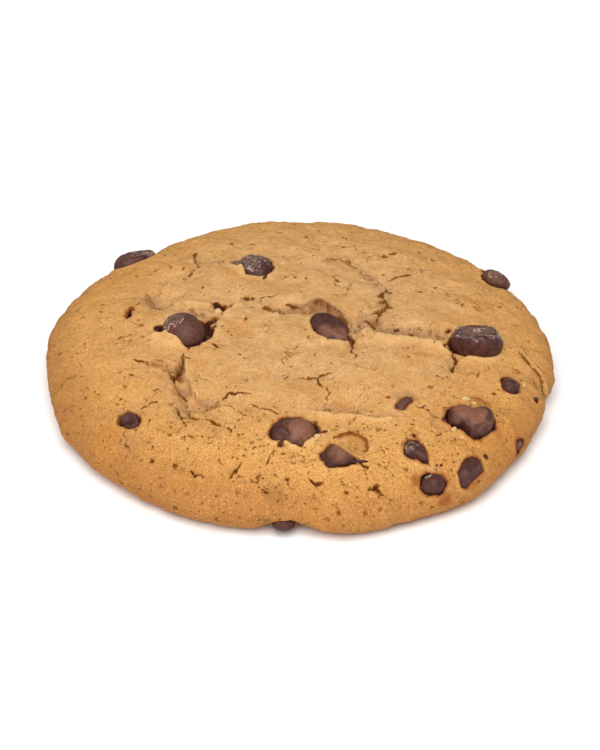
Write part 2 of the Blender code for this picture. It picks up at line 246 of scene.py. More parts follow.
def apply_modifier(obj, kind, **settings):
    modifier = obj.modifiers.new(kind.title(), kind)
    for key, value in settings.items():
        setattr(modifier, key, value)
    only(obj)
    bpy.ops.object.modifier_apply(modifier=modifier.name)


def points_of(obj):
    points = np.empty(len(obj.data.vertices) * 3)
    obj.data.vertices.foreach_get("co", points)
    return points.reshape(-1, 3)


def normals_of(obj):
    normals = np.empty(len(obj.data.vertices) * 3)
    obj.data.vertex_normals.foreach_get("vector", normals)
    return normals.reshape(-1, 3)


def move_points(obj, points):
    obj.data.vertices.foreach_set("co", np.ascontiguousarray(points).ravel())
    obj.data.update()


def noise_at(points, size, seed=0.0, octaves=2):
    """Smooth noise between about -1 and 1 at each point; size is the width of one lump."""
    scaled = (points / size + seed * 7.31).tolist()
    return np.array([noise.fractal(p, 1.0, 2.0, octaves) for p in scaled])


def paint(obj, name, values):
    """Keep a number for each point of the mesh, for its material to read."""
    layer = obj.data.attributes.new(name, "FLOAT", "POINT")
    layer.data.foreach_set("value", np.clip(values, 0.0, 1.0).astype(np.float32))


# %% One chip, from a ball to a melted lump
VOXEL = 0.2               # size of the remeshed faces, mm
SMALL_CHIP = 5.5
CHIP_DENT = 0.16          # how far the melted surface wanders, mm


def press_ball(size, lie=(0, 0), flats=()):
    """A ball pressed to size, with its flats sliced off and then turned to lie as the chip does."""
    bpy.ops.object.select_all(action="DESELECT")
    bpy.ops.mesh.primitive_uv_sphere_add(segments=32, ring_count=20, radius=0.5)
    ball = bpy.context.object
    bpy.ops.object.mode_set(mode="EDIT")
    bpy.ops.mesh.select_all(action="SELECT")
    bpy.ops.transform.resize(value=size)
    for direction, steepness, share in flats:
        turn, lift = math.radians(direction), math.radians(steepness)
        facing = Vector((math.cos(turn) * math.cos(lift), math.sin(turn) * math.cos(lift), math.sin(lift)))
        reach = share * Vector([s / 2 * f for s, f in zip(size, facing)]).length
        bpy.ops.mesh.select_all(action="SELECT")
        bpy.ops.mesh.bisect(plane_co=facing * reach, plane_no=facing, use_fill=True, clear_outer=True)
    bpy.ops.object.mode_set(mode="OBJECT")
    pitch, heading = lie
    ball.data.transform(Euler((0, math.radians(pitch), math.radians(heading))).to_matrix().to_4x4())
    return ball


def soft_patch(points, normals, patches):
    """Strength of the upper-side patches at each point."""
    amount = np.zeros(len(points))
    for x, y, radius, strength in patches:
        away = np.hypot(points[:, 0] - x, points[:, 1] - y) + 0.38 * radius * noise_at(points, 1.5, x + y)
        amount = np.maximum(amount, strength * (1.0 - ease(away, 0.55 * radius, 1.2 * radius)))
    # the patches keep to the upper side: bloom rises there, and the warm brown of milk_and_light there is partly
    # painted light
    return amount * ease(normals[:, 2], -0.1, 0.5)


def make_chip(node, number, size, lie, flats, lumps=(), dents=(), soft=14, milk_and_light=(), bloom=(), **_):
    body = press_ball(size, lie, flats)
    centre = (points_of(body).min(axis=0) + points_of(body).max(axis=0)) / 2
    for x, y, z, *lump_size in lumps:
        lump = press_ball(lump_size)
        lump.data.transform(lump.matrix_world.Translation(Vector((x, y, z))))
        lump.select_set(True)
        bpy.context.view_layer.objects.active = body
        body.select_set(True)
        bpy.ops.object.join()
    small = max(size) <= SMALL_CHIP
    apply_modifier(body, "REMESH", mode="VOXEL", voxel_size=VOXEL * (0.7 if small else 1.0))
    apply_modifier(body, "SMOOTH", factor=0.5, iterations=min(soft, 8) if small else soft)
    points, normals = points_of(body), normals_of(body)
    for x, y, z, radius, depth in dents:
        near = bell(np.linalg.norm(points - (x, y, z), axis=1), radius)
        points = points - normals * (depth * near)[:, None]
    wander = CHIP_DENT * (noise_at(points, 2.6, number) + 0.4 * noise_at(points, 0.9, number + 0.5))
    points = points + normals * wander[:, None]
    move_points(body, points)
    paint(body, "milk_and_light", soft_patch(points, normals, milk_and_light))
    paint(body, "bloom", soft_patch(points, normals, bloom))
    low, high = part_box(node)
    middle = (Vector(low) + Vector(high)) / 2 / MM
    move_points(body, points - centre + np.array(middle))
    body.name = body.data.name = node.replace("chip", "chocolate")
    body.data.shade_smooth()
    return body


chips = {}
for number, (node, recipe) in enumerate(CHIPS.items()):
    chips[node] = make_chip(node, number, **recipe)
print(len(chips), "chips,", sum(len(c.data.polygons) for c in chips.values()), "faces")

# %% [markdown]
# ## The net of the dough
# Cracks and pores need small, even faces all over. A round grid crowds its faces in the middle, so the top
# starts as a six-sided fan: subdivided, it is an even net of triangles. Its edge is extruded down ring by ring
# for the rolled foot, a second fan is laid under it for the flat underside, and Bridge closes the skin.

# %% Lay the net with edit tools
TOP_CUTS = (14, 9)        # each side of the fan in 15 parts, then each of those in 10
FOOT_RINGS = 13
UNDER_CUTS = (14, 4)
STEP = 0.1                # a mark of each ring's place, until it gets its real one
UNDER_MARK = -2.0


def add_fan(height, cuts):
    bpy.ops.object.select_all(action="DESELECT")
    bpy.ops.mesh.primitive_circle_add(vertices=6, radius=1.0, fill_type="TRIFAN", location=(0, 0, height))
    bpy.ops.object.mode_set(mode="EDIT")
    bpy.ops.mesh.select_all(action="SELECT")
    for number in cuts:
        bpy.ops.mesh.subdivide(number_cuts=number)
    bpy.ops.object.mode_set(mode="OBJECT")
    return bpy.context.object


def select_open_edges():
    bpy.ops.mesh.select_mode(type="EDGE")
    bpy.ops.mesh.select_all(action="DESELECT")
    bpy.ops.mesh.select_non_manifold(extend=False, use_wire=False, use_boundary=True,
                                     use_multi_face=False, use_non_contiguous=False, use_verts=False)


dough = add_fan(0.0, TOP_CUTS)
bpy.ops.object.mode_set(mode="EDIT")
select_open_edges()
for ring in range(FOOT_RINGS):
    bpy.ops.mesh.extrude_edges_move(TRANSFORM_OT_translate={"value": (0, 0, -STEP)})
bpy.ops.object.mode_set(mode="OBJECT")
under = add_fan(UNDER_MARK, UNDER_CUTS)
dough.select_set(True)
bpy.context.view_layer.objects.active = dough
bpy.ops.object.join()
bpy.ops.object.mode_set(mode="EDIT")
select_open_edges()
bpy.ops.mesh.bridge_edge_loops()
bpy.ops.object.mode_set(mode="OBJECT")
dough.name = dough.data.name = "browned_dough"
print("net:", len(dough.data.vertices), "points,", len(dough.data.polygons), "faces")

# %% [markdown]
# The six-sided net is now rounded off and pulled onto the form: a point's distance from the middle says how far
# down the dome it sits, measured along the curve so that the faces stay even where the side falls away.

# %% Pull the net onto the form
net = points_of(dough)
SIXTH = math.pi / 3
bearing = np.arctan2(net[:, 1], net[:, 0])
start = math.pi / 2 + np.floor((bearing - math.pi / 2) / SIXTH + 1e-6) * SIXTH
first = (net[:, 0] * np.sin(start + SIXTH) - net[:, 1] * np.cos(start + SIXTH)) / math.sin(SIXTH)
second = (net[:, 1] * np.cos(start) - net[:, 0] * np.sin(start)) / math.sin(SIXTH)
reach = np.maximum(first + second, 1e-9)
angle = start + second / reach * SIXTH
reach = np.minimum(reach, 1.0)

is_under = net[:, 2] < UNDER_MARK + STEP
is_foot = (net[:, 2] < -STEP / 2) & ~is_under
is_top = ~is_under & ~is_foot

share_steps = np.linspace(0.0, 1.0, 4000) ** 3
run = np.hypot(np.diff(share_steps) * RADIUS, np.diff(dome_height(share_steps)))
arc = np.concatenate(([0.0], np.cumsum(run)))
share = np.interp((1.0 - reach) * arc[-1], arc, share_steps)

foot_turn = np.clip(-net[:, 2] / STEP / FOOT_RINGS, 0, 1) * math.pi / 2
UNDER_EDGE = (RADIUS - FOOT_INSET) / RADIUS * 0.987
spread = np.where(is_under, reach * UNDER_EDGE,
                  np.where(is_foot, 1.0 - FOOT_INSET * (1.0 - np.cos(foot_turn)) / RADIUS, 1.0 - share))
rim = rim_radius(angle)
plan_x = rim * spread * np.cos(angle)
plan_y = rim * spread * np.sin(angle)
print("arc from rim to middle:", round(float(arc[-1]), 1), "mm, face about",
      round(float(arc[-1]) / 150, 2), "mm")

# %% [markdown]
# ## The cracks
# As the dome sank its dry skin tore. Each crack is a wandering line with a depth, a dip of the skin on both
# sides and often one lip higher than the other. Cutting them with booleans would leave clean knife slits, so the
# skin is pushed down along each line instead, the way a sculpting brush does it, and the lines are shaken by
# noise so that they look torn.

# %% Every crack, as a line in plan
# width and depth of the tear, dip of the skin beside it, how much its left side stands above its right, painted shade
# inside it
Crack = namedtuple("Crack", "width depth dip lift murk path")
CRACKS = (
    # left side, from the front of the left chip down to the front
    Crack(0.5, 1.2, 0.3, 0.15, 1.0, ((-20.6, -5.2), (-21.3, -6.6), (-21.9, -8.2))),
    Crack(0.35, 1.6, 0.2, 0.1, 1.0, ((-22.3, -8.6), (-22.8, -11.2), (-23.5, -13.4), (-24.2, -14.8), (-24.0, -16.6),
                                     (-23.6, -18.2))),
    Crack(0.4, 0.9, 0.5, 0.25, 0.85, ((-23.3, -18.6), (-22.4, -20.2), (-21.4, -21.4), (-20.9, -22.8), (-20.3, -24.2))),
    Crack(0.35, 0.8, 0.3, 0.25, 0.9, ((-23.4, -24.2), (-22.7, -26), (-22.2, -27.8), (-21, -29.8))),
    Crack(0.3, 0.7, 0.25, 0.2, 0.85, ((-20.9, -26.6), (-19, -28.2), (-17, -28.6), (-16, -30), (-14.5, -30.7),
                                      (-12.3, -33.2))),
    Crack(0.45, 0.9, 0.15, 0.12, 1.0, ((-15.4, -23.0), (-13.5, -21.9), (-11.5, -21.8), (-9.2, -22.9))),
    Crack(0.5, 0.8, 0.2, 0.15, 0.85, ((-32.2, -10.2), (-30.5, -10.9), (-28.5, -11.5))),
    Crack(0.9, 0.5, 0.2, 0.1, 0.2, ((-29.4, -11.1), (-27.0, -12.7), (-25, -14))),
    Crack(0.3, 0.5, 0.25, 0, 0.6, ((-27, -12.8), (-25, -14), (-23.9, -16))),
    Crack(0.3, 0.6, 0.1, 0.05, 0.85, ((-9, -25.5), (-7.5, -26.8), (-5.5, -27.2), (-4, -28.3))),
    Crack(0.3, 0.5, 0.1, 0, 0.8, ((-12, -27.3), (-10.5, -28.6), (-8.8, -28.8))),
    Crack(0.5, 0.8, 0, 0, 1.0, ((-17.2, -6.8), (-16.3, -7.6), (-15.6, -8.7))),
    Crack(0.3, 0.5, 0.2, 0.1, 0.7, ((-30.4, -24.2), (-28.6, -23), (-26.6, -22.4))),
    Crack(0.3, 0.5, 0.3, 0.15, 0.6, ((-33.2, -29.6), (-32.6, -31.6), (-31.8, -33.8))),
    Crack(0.5, 0.3, 0.5, 0.35, 0.15, ((-19.2, -23.8), (-17.4, -24.2), (-15.6, -23.2))),
    # behind the left chip
    Crack(0.55, 1.0, 0.3, -0.3, 0.95, ((-21.4, 29.8), (-22.2, 28.6), (-21.8, 27), (-21.5, 25.4), (-20.9, 23.7))),
    Crack(0.3, 0.7, 0.25, -0.25, 0.85, ((-20.9, 23.7), (-20.8, 22.2), (-21.6, 20.8), (-22.2, 19.4), (-23.9, 17.6))),
    Crack(0.5, 0.3, 0.35, 0, 0.15, ((-21.3, 25), (-19, 24.2), (-17, 24), (-14.8, 24))),
    Crack(0.5, 1.0, 0.3, 0.25, 1.0, ((-26.2, 18.6), (-26.8, 17.4), (-27, 16), (-27.9, 14.6), (-28.0, 13.0))),
    Crack(0.8, 0.5, 0.6, 0.2, 0.2, ((-31.2, 14.2), (-30.5, 12.5), (-29.5, 10.5), (-28, 8.5), (-26.2, 7.4))),
    Crack(1.5, 2.4, 0.1, 0, 1.0, ((-33.6, 8.0), (-34.0, 6.8), (-34.8, 4.7))),
    Crack(0.4, 0.7, 0, 0, 0.85, ((-32.0, 10.6), (-32.8, 8.5))),
    Crack(1.3, 1.5, 0.3, 0.1, 0.95, ((-18.0, 0.8), (-17, 1.9), (-16.9, 3.2))),
    Crack(1.2, 1.3, 0.2, 0.1, 0.9, ((-16.9, 5.6), (-15.9, 6.8), (-14.2, 7.3))),
    Crack(0.4, 0.6, 0, 0, 0.9, ((-14.2, 7.5), (-13.2, 7.5), (-12.4, 8.2))),
    Crack(0.3, 0.5, 0.1, 0.1, 0.85, ((-8.2, 8.2), (-6.9, 9.2), (-5.6, 9.4), (-4.6, 10.4))),
    Crack(0.9, 0.6, 0, 0, 0.85, ((-11.2, 9.4), (-10.2, 9.0), (-9.2, 7.9))),
    # the open trench between the left chip and the middle one
    Crack(1.0, 0.5, 0.2, 0.1, 0.7, ((-7.6, 5.4), (-6.2, 5.0), (-5.0, 5.4))),
    Crack(1.4, 0.5, 0.3, 0.1, 0.8, ((-5.0, 5.2), (-4, 4.8), (-3.0, 5.0))),
    Crack(0.7, 0.4, 0.3, 0.1, 0.45, ((-3.4, 5.2), (-1.4, 5.0), (0.4, 4.6), (2.0, 4.2))),
    Crack(0.5, 0.5, 0, 0.1, 0.8, ((-2.6, 7.6), (-1.2, 7.3), (-0.2, 6.8))),
    # middle chip down to the front
    Crack(0.9, 1.8, 0.2, 0.1, 1.0, ((9.6, -4.4), (10.6, -6.0), (10.4, -7.8))),
    Crack(0.35, 1.2, 0.1, 0.1, 1.0, ((10.4, -7.8), (10.0, -9.2), (10.9, -10.6), (10.6, -12.2))),
    Crack(0.3, 0.5, 0.1, 0.1, 0.8, ((0, -17.3), (1.6, -17.9), (3.2, -17.7), (6.5, -17))),
    Crack(0.35, 0.5, 0.1, 0, 0.85, ((3.4, -18), (3.8, -19.4), (4.4, -21))),
    Crack(0.25, 0.4, 0, 0, 0.8, ((-2.6, -11.2), (-3.2, -12.8), (-2.6, -14.2))),
    Crack(0.25, 0.3, 0, 0, 0.7, ((3.2, -9.4), (2.9, -11.4))),
    Crack(0.25, 0.3, 0, 0, 0.7, ((5.2, -19.8), (5.8, -22.6), (4.8, -24.4))),
    # the long step of the right side: a lip in front, a pitted groove behind it
    Crack(0.5, 0.9, 0.4, -0.55, 0.7, ((10.4, -2.4), (12.4, -4), (14, -4.5), (16, -4.7), (19, -4), (22, -4.8))),
    Crack(0.5, 1.2, 0.3, -0.4, 0.95, ((21.6, -4.7), (24, -5.5), (26, -5.7), (28.4, -5.5), (29.8, -4.0))),
    Crack(0.8, 1.2, 0.3, 0.2, 0.9, ((28.8, -5.8), (30.0, -8.4), (30.6, -9.8), (29.9, -11.8), (29.8, -14.4))),
    Crack(0.5, 0.8, 0.3, 0, 0.7, ((12.0, 0), (14, 1), (15, 2.6), (16, 5), (17.2, 6.6))),
    Crack(0.7, 1.0, 0.4, 0.1, 0.75, ((16.6, 5.6), (17.4, 7.0), (18.2, 8.2), (17.8, 9.2), (17, 10.4), (16.6, 12.2),
                                    (18.2, 13.8), (17.4, 15.8))),
    Crack(0.3, 0.6, 0.3, -0.4, 0.2, ((17.6, 15.4), (15.5, 17.5), (13.5, 19.5), (12, 21))),
    Crack(0.25, 0.5, 0.25, -0.35, 0.3, ((12, 21), (10, 23), (8.5, 24.6), (5, 25.4))),
    Crack(0.4, 0.7, 0.2, 0.15, 0.85, ((17.6, 17.4), (19, 18.2), (21, 18.4), (23.4, 19.8))),
    Crack(0.25, 0.3, 0, 0, 0.6, ((7.5, 19), (7.0, 16.4), (7.2, 13.5))),
    # right rim and front right
    Crack(0.6, 1.3, 0.1, 0.3, 0.75, ((43.2, -3.6), (46, -7), (48, -9.2), (48.2, -12.4))),
    Crack(0.4, 0.8, 0.1, 0.1, 0.9, ((28.6, -30), (27, -31.0), (26.2, -31.8), (25.4, -32.6))),
    Crack(0.35, 0.7, 0, 0, 1.0, ((22.0, -25), (23.8, -25.4))),
    Crack(0.4, 0.5, 0, 0, 0.8, ((24.2, -25.0), (25.4, -26.8), (26.4, -27.2))),
    Crack(0.5, 0.5, 0.2, 0.1, 0.3, ((31.6, -21), (34, -20.4), (37, -21.8))),
    # the front
    Crack(0.5, 0.9, 0, 0, 1.0, ((9.6, -40.9), (11, -40.4), (12.6, -40.9), (12.4, -41.6))),
    Crack(0.5, 0.3, 0, 0, 0.7, ((12.6, -37.4), (12.8, -36.4), (12.2, -34.4), (10.6, -33.2), (8.6, -33.4), (7.2, -34.2))),
    Crack(0.4, 0.8, 0, 0, 0.9, ((-10.4, -39.3), (-11.2, -40.8), (-12.5, -42.8))),
    Crack(0.35, 0.6, 0, 0, 0.8, ((-6.2, -40.4), (-5.6, -38.8), (-4.6, -36.8))),
    Crack(0.5, 0.8, 0, 0, 1.0, ((-20.4, -40.6), (-19.4, -41.8), (-18.2, -41.6))),
    Crack(0.4, 0.9, 0, 0, 1.0, ((-7.0, -45.0), (-5.6, -45.6))),
    Crack(0.4, 0.7, 0, 0, 0.9, ((1.6, -43.4), (3.0, -44.4), (4.8, -44))),
    Crack(0.45, 0.8, 0, 0, 0.95, ((12.6, -45.6), (14.0, -44.6), (15.6, -45.6))),
)

# %% [markdown]
# In places a whole slab of the top sank and the next one stayed up. That leaves a step: a raised lip on one side
# and low, crumbly skin on the other that climbs back slowly.

# %% Steps between slabs; the low side is on the left along each path
Step = namedtuple("Step", "drop recover lip path")
STEPS = (
    Step(1.75, 4.2, 1.0, ((10.8, -3.6), (12.2, -2.9), (13.8, -4.6), (17, -5.2), (20, -5.1), (23, -5.2), (25, -5.9),
                         (27.5, -6.0), (29.3, -7.8), (30.2, -10.2))),
    Step(1.4, 2.6, 0.5, ((-6.6, 4.6), (-4.4, 4.0), (-2, 4.1), (0, 3.9), (1.6, 2.8))),
    Step(1.1, 2.4, 0.45, ((-17.4, -4.6), (-16.6, -1), (-15.8, 2), (-14.4, 4.4), (-12.8, 6.6), (-10.6, 7.6))),
    Step(1.3, 2.2, 0.5, ((-17.2, -23.4), (-19.4, -22.4), (-20.7, -20.6), (-21.3, -17.4), (-22.2, -15),
                         (-22.4, -10.6), (-21.4, -8.6))),
    Step(1.1, 2.6, 0.5, ((-21.4, -25.0), (-19.6, -25.9), (-17, -26.0), (-14, -25.4), (-12.4, -24.8))),
    Step(1.0, 3.2, 0.5, ((2.6, -27.6), (5.5, -28.2), (9, -28.0), (12, -28.6), (15, -28.9), (18.6, -28.0))),
    Step(1.3, 2.4, 0.5, ((-16.4, 5.4), (-18.4, 6.4), (-21.5, 7.4), (-24.3, 8.6))),
    Step(0.9, 2.6, 0.4, ((9.8, -1.4), (8.6, 1.2), (6.8, 4.6), (5, 7.4), (3.2, 8.8))),
    Step(0.5, 2.0, 0.25, ((-23.2, -24.4), (-25.6, -19.6), (-25.2, -16.6), (-27.2, -13.4))),
    Step(0.5, 2.5, 0.25, ((12.0, 21.4), (14.6, 18.8), (17, 16.4), (18.4, 13.8))),
    Step(0.4, 2.0, 0.25, ((17.4, 8.6), (16.2, 5.2), (14.6, 2.4))),
    Step(0.4, 2.0, 0.2, ((29.0, -33.4), (28.6, -31.4), (26.4, -32.4), (24.6, -33.8))),
    Step(1.5, 2.0, 0.2, ((11.8, -38.6), (12.8, -36.4), (12.2, -34.4), (10.6, -33.2), (8.6, -33.4), (6.8, -34.6))),
    Step(0.7, 2.0, 0.35, ((-28.6, 12.6), (-27.2, 15.2), (-26.4, 18.0), (-23.2, 19.4), (-21.0, 22.4), (-21.6, 26.4))),
)

# %% [markdown]
# Besides the cracks that can be told apart, the skin is full of short tears a millimetre or two long. Each is a
# small random walk. They lie thickest where the crumb is open, at the front and the left.

# %% Short tears, walked at random
TEAR_COUNT = 110


def openness(x, y):
    """How open the crumb is: closed on the smooth middle, open to the front and the left."""
    return (0.1 + 0.12 * ease(-y, -12, 6) + 0.22 * ease(np.hypot(x - 2, y + 4), 16, 40)
            + 0.34 * ease(-y, 14, 38))


def walk_a_tear():
    while True:
        turn, reach = CHANCE.uniform(0, math.tau), RADIUS * math.sqrt(CHANCE.random()) * 0.96
        x, y = reach * math.cos(turn), reach * math.sin(turn)
        if CHANCE.random() < openness(x, y):
            break
    heading = CHANCE.gauss(0.0, 0.8)
    path = [(x, y)]
    for _ in range(CHANCE.choice((1, 2, 2, 3, 4))):
        heading += CHANCE.gauss(0.0, 0.9)
        step = CHANCE.uniform(0.35, 0.95)
        x, y = x + step * math.cos(heading), y + step * math.sin(heading)
        path.append((x, y))
    return Crack(CHANCE.uniform(0.16, 0.32), CHANCE.uniform(0.2, 0.5), 0, CHANCE.uniform(-0.2, 0.2),
                 CHANCE.uniform(0.3, 0.65), tuple(path))


TEARS = CRACKS + tuple(walk_a_tear() for _ in range(TEAR_COUNT))
print(len(CRACKS), "cracks and", TEAR_COUNT, "short tears")


# %% Distance to a line
def to_line(x, y, path):
    """Distance to a line, side of it (1 left, -1 right), distance along it, its length, and the way to it."""
    best = np.full(len(x), 1e9)
    side, along = np.ones(len(x)), np.zeros(len(x))
    way_x, way_y = np.zeros(len(x)), np.zeros(len(x))
    done = 0.0
    for (ax, ay), (bx, by) in zip(path, path[1:]):
        length = math.hypot(bx - ax, by - ay)
        dx, dy = (bx - ax) / length, (by - ay) / length
        t = np.clip((x - ax) * dx + (y - ay) * dy, 0.0, length)
        off_x, off_y = ax + t * dx - x, ay + t * dy - y
        away = np.hypot(off_x, off_y)
        near = away < best
        best[near], along[near] = away[near], (done + t)[near]
        side[near] = np.sign(off_x * dy - off_y * dx + 1e-9)[near]
        way_x[near], way_y[near] = off_x[near], off_y[near]
        done += length
    return best, side, along, done, way_x, way_y


def near_path(x, y, path, margin):
    """The points of the top within a margin of a line."""
    xs, ys = zip(*path)
    return np.flatnonzero(is_top & (x > min(xs) - margin) & (x < max(xs) + margin)
                          & (y > min(ys) - margin) & (y < max(ys) + margin))


def shaken(x, y):
    """Plan places moved a little by noise, so that lines drawn through them look torn."""
    flat = np.stack((x, y, np.zeros(len(x))), axis=1)
    return (x + 0.4 * noise_at(flat, 2.4, 3.0) + 0.3 * noise_at(flat, 0.9, 4.0),
            y + 0.4 * noise_at(flat, 2.4, 5.0) + 0.3 * noise_at(flat, 0.9, 6.0))


# %% [markdown]
# A tear is thinner than the net's faces, so the net is drawn together along every tear and round every chip:
# the same number of faces, but a quarter of the size where an edge has to look crisp.

# %% Draw the net together where edges are crisp
PULL = 0.74               # share of its distance that a point is drawn in
PULL_REACH = 0.85
UNFOLD_ROUNDS, UNFOLD_SHARE = 8, 0.12


def chip_distance(shell, points):
    """Distance of some points of the dough from a chip, less than 0 inside it, and the way to its skin."""
    spots = np.empty((len(points), 4))
    for row, place in enumerate(points + np.array(SHIFT)):
        spot, facing, _, distance = shell.find_nearest(place)
        step = spot - Vector(place)
        spots[row] = (math.copysign(distance, -step.dot(facing)), *step)
    return spots[:, 0], spots[:, 1:]


# the foot is lifted off the table in front, where a chip hangs under it: direction, width, height
FOOT_LIFT_AT, FOOT_LIFT_WIDTH, FOOT_LIFT = -93.0, 5.5, 3.0


def height_at(x, y):
    share = np.clip(1.0 - np.hypot(x, y) / rim_radius(np.arctan2(y, x)), 0.0, 1.0)
    height = dome_height(share)
    top = height + relief(x, y) * (height > WAIST)
    turn = (np.degrees(np.arctan2(y, x)) - FOOT_LIFT_AT + 180.0) % 360.0 - 180.0
    raised = FOOT_LIFT * bell(turn, FOOT_LIFT_WIDTH)
    foot = raised + (WAIST - raised) * (1.0 - np.sin(foot_turn))
    return share, np.where(is_top, top, np.where(is_foot, foot, raised * ease(spread, 0.86, 0.95)))


torn_x, torn_y = shaken(plan_x, plan_y)
pull_x, pull_y = np.zeros(len(net)), np.zeros(len(net))
nearest = np.full(len(net), 1e9)
for line in TEARS + STEPS:
    close = near_path(plan_x, plan_y, line.path, 4 * PULL_REACH)
    away, _, _, _, way_x, way_y = to_line(torn_x[close], torn_y[close], line.path)
    better = away < nearest[close]
    picked = close[better]
    nearest[picked] = away[better]
    strength = PULL * bell(away[better], PULL_REACH)
    pull_x[picked] = way_x[better] * strength
    pull_y[picked] = way_y[better] * strength

share, plan_z = height_at(plan_x, plan_y)
form = np.stack((plan_x, plan_y, plan_z), axis=1)
shells, reaches = {}, {}
for node, chip in chips.items():
    hull = points_of(chip)
    shells[node] = bvhtree.BVHTree.FromPolygons([Vector(p) for p in hull], [p.vertices[:] for p in chip.data.polygons])
    middle = (hull.min(axis=0) + hull.max(axis=0)) / 2
    reaches[node] = (middle - np.array(SHIFT), float(np.linalg.norm(hull - middle, axis=1).max()))
for node, surface in shells.items():
    middle, size = reaches[node]
    close = np.flatnonzero(is_top & (np.linalg.norm(form - middle, axis=1) < size + 2.5))
    gap_to_chip, way = chip_distance(surface, form[close])
    better = np.abs(gap_to_chip) < nearest[close]
    picked = close[better]
    nearest[picked] = np.abs(gap_to_chip)[better]
    strength = 0.6 * bell(gap_to_chip[better], PULL_REACH)
    pull_x[picked] = way[better, 0] * strength
    pull_y[picked] = way[better, 1] * strength
pull = np.stack((pull_x, pull_y), axis=1) * ease(share, 0.0, 0.05)[:, None]   # none at the rim: it would be a drop
net_faces = [tuple(face.vertices) for face in dough.data.polygons]
corners = np.array([face[:3] for face in net_faces])
corners = corners[is_top[corners].all(axis=1)]
plan = np.stack((plan_x, plan_y), axis=1)


def plan_areas(places):
    a, b, c = places[corners[:, 0]], places[corners[:, 1]], places[corners[:, 2]]
    return (b[:, 0] - a[:, 0]) * (c[:, 1] - a[:, 1]) - (b[:, 1] - a[:, 1]) * (c[:, 0] - a[:, 0])


# a face that would turn over or close up gets half the pull, until none does
areas = plan_areas(plan)
for _ in range(UNFOLD_ROUNDS):
    folded = plan_areas(plan + pull) < UNFOLD_SHARE * areas
    pull[np.unique(corners[folded])] *= 0.5
plan_x, plan_y = (plan + pull).T
torn_x, torn_y = shaken(plan_x, plan_y)
print("points drawn in:", int((np.hypot(pull_x, pull_y) > 0.05).sum()))

# %% Place the smooth form
share, plan_z = height_at(plan_x, plan_y)
form = np.stack((plan_x, plan_y, plan_z), axis=1)
flat = np.stack((plan_x, plan_y, np.zeros(len(form))), axis=1)
move_points(dough, form)
only(dough)
bpy.ops.object.mode_set(mode="EDIT")
bpy.ops.mesh.select_all(action="SELECT")
bpy.ops.mesh.normals_make_consistent(inside=False)
bpy.ops.object.mode_set(mode="OBJECT")
outward = normals_of(dough)
print("form:", form.min(axis=0).round(2), form.max(axis=0).round(2))

# %% Press the cracks in
lift = np.zeros(len(net))             # how far each point moves along its normal, mm
crevice = np.zeros(len(net))          # 0.5 at the edge of a crack or pore, 1 in its middle
murk = np.full(len(net), 0.6)         # painted shade inside a crack or pore: 0.5 brown, 1 nearly black
grey_and_shade = np.zeros(len(net))          # 1 where sunken skin is painted grey-brown: a floury tint and painted shade
hollow_shade = np.zeros(len(net))             # 1 deep in a hollow: painted brown shade


def darken(index, field, dark):
    """Write a crack's field and its painted shade where it is the strongest one."""
    stronger = field > crevice[index]
    crevice[index[stronger]] = field[stronger]
    murk[index[stronger]] = dark


for number, crack in enumerate(TEARS):
    close = near_path(plan_x, plan_y, crack.path, 5.0 if number < len(CRACKS) else 1.5)
    away, side, along, length, _, _ = to_line(torn_x[close], torn_y[close], crack.path)
    ends = ease(np.minimum(along, length - along), -0.3, min(0.9, length / 2))
    ragged = 1.0 + 0.7 * noise_at(flat[close], 0.9, number)
    whole = np.maximum(ease(noise_at(flat[close], 1.5, number + 0.4), -0.55, 0.1), 10 * (crack.murk - 0.9))
    half = np.maximum(0.32 * crack.width * ragged * (0.3 + 0.7 * ends), 0.05)
    wall = np.clip(1.0 - away / (1.3 * half), 0.0, 1.0)
    lift[close] -= crack.depth * ends * np.maximum(ragged, 0.4) * (0.4 + 0.6 * whole) * wall ** 0.7
    lift[close] -= crack.dip * ends * bell(away, 2.2)
    lift[close] += crack.lift * side * ends * bell(away, 1.6)
    lift[close] += 0.4 * min(crack.depth, 0.5) * ends * bell(away - half - 0.35, 0.3)
    field = ease(ends, 0.0, 0.3) * (0.45 + 0.55 * whole) * np.clip((1.0 + 0.3 * crack.width) * (1.0 - away / (2 * half)), 0.0, 1.0)
    darken(close, field, crack.murk)
    # the skin dipping beside a crack is painted grey: a floury tint and painted shade
    grey_and_shade[close] = np.maximum(grey_and_shade[close], crack.dip * ends * bell(away, 2.2))
for step in STEPS:
    close = near_path(plan_x, plan_y, step.path, 2.5 * step.recover)
    away, side, along, length, _, _ = to_line(torn_x[close], torn_y[close], step.path)
    ends = ease(np.minimum(along, length - along), -0.5, 1.8)
    fall = step.drop * bell(away, step.recover)
    rise = step.lip * bell(away - 0.35, 0.9)
    lift[close] += ends * np.where(side > 0, -fall, rise)
    # the low side of a step is painted grey: a floury tint and painted shade where it faces away from the light
    grey_and_shade[close] = np.maximum(grey_and_shade[close], 0.5 * ends * (side > 0) * bell(away, 0.5 * step.recover))
print("deepest crack:", round(float(-lift.min()), 2), "mm")
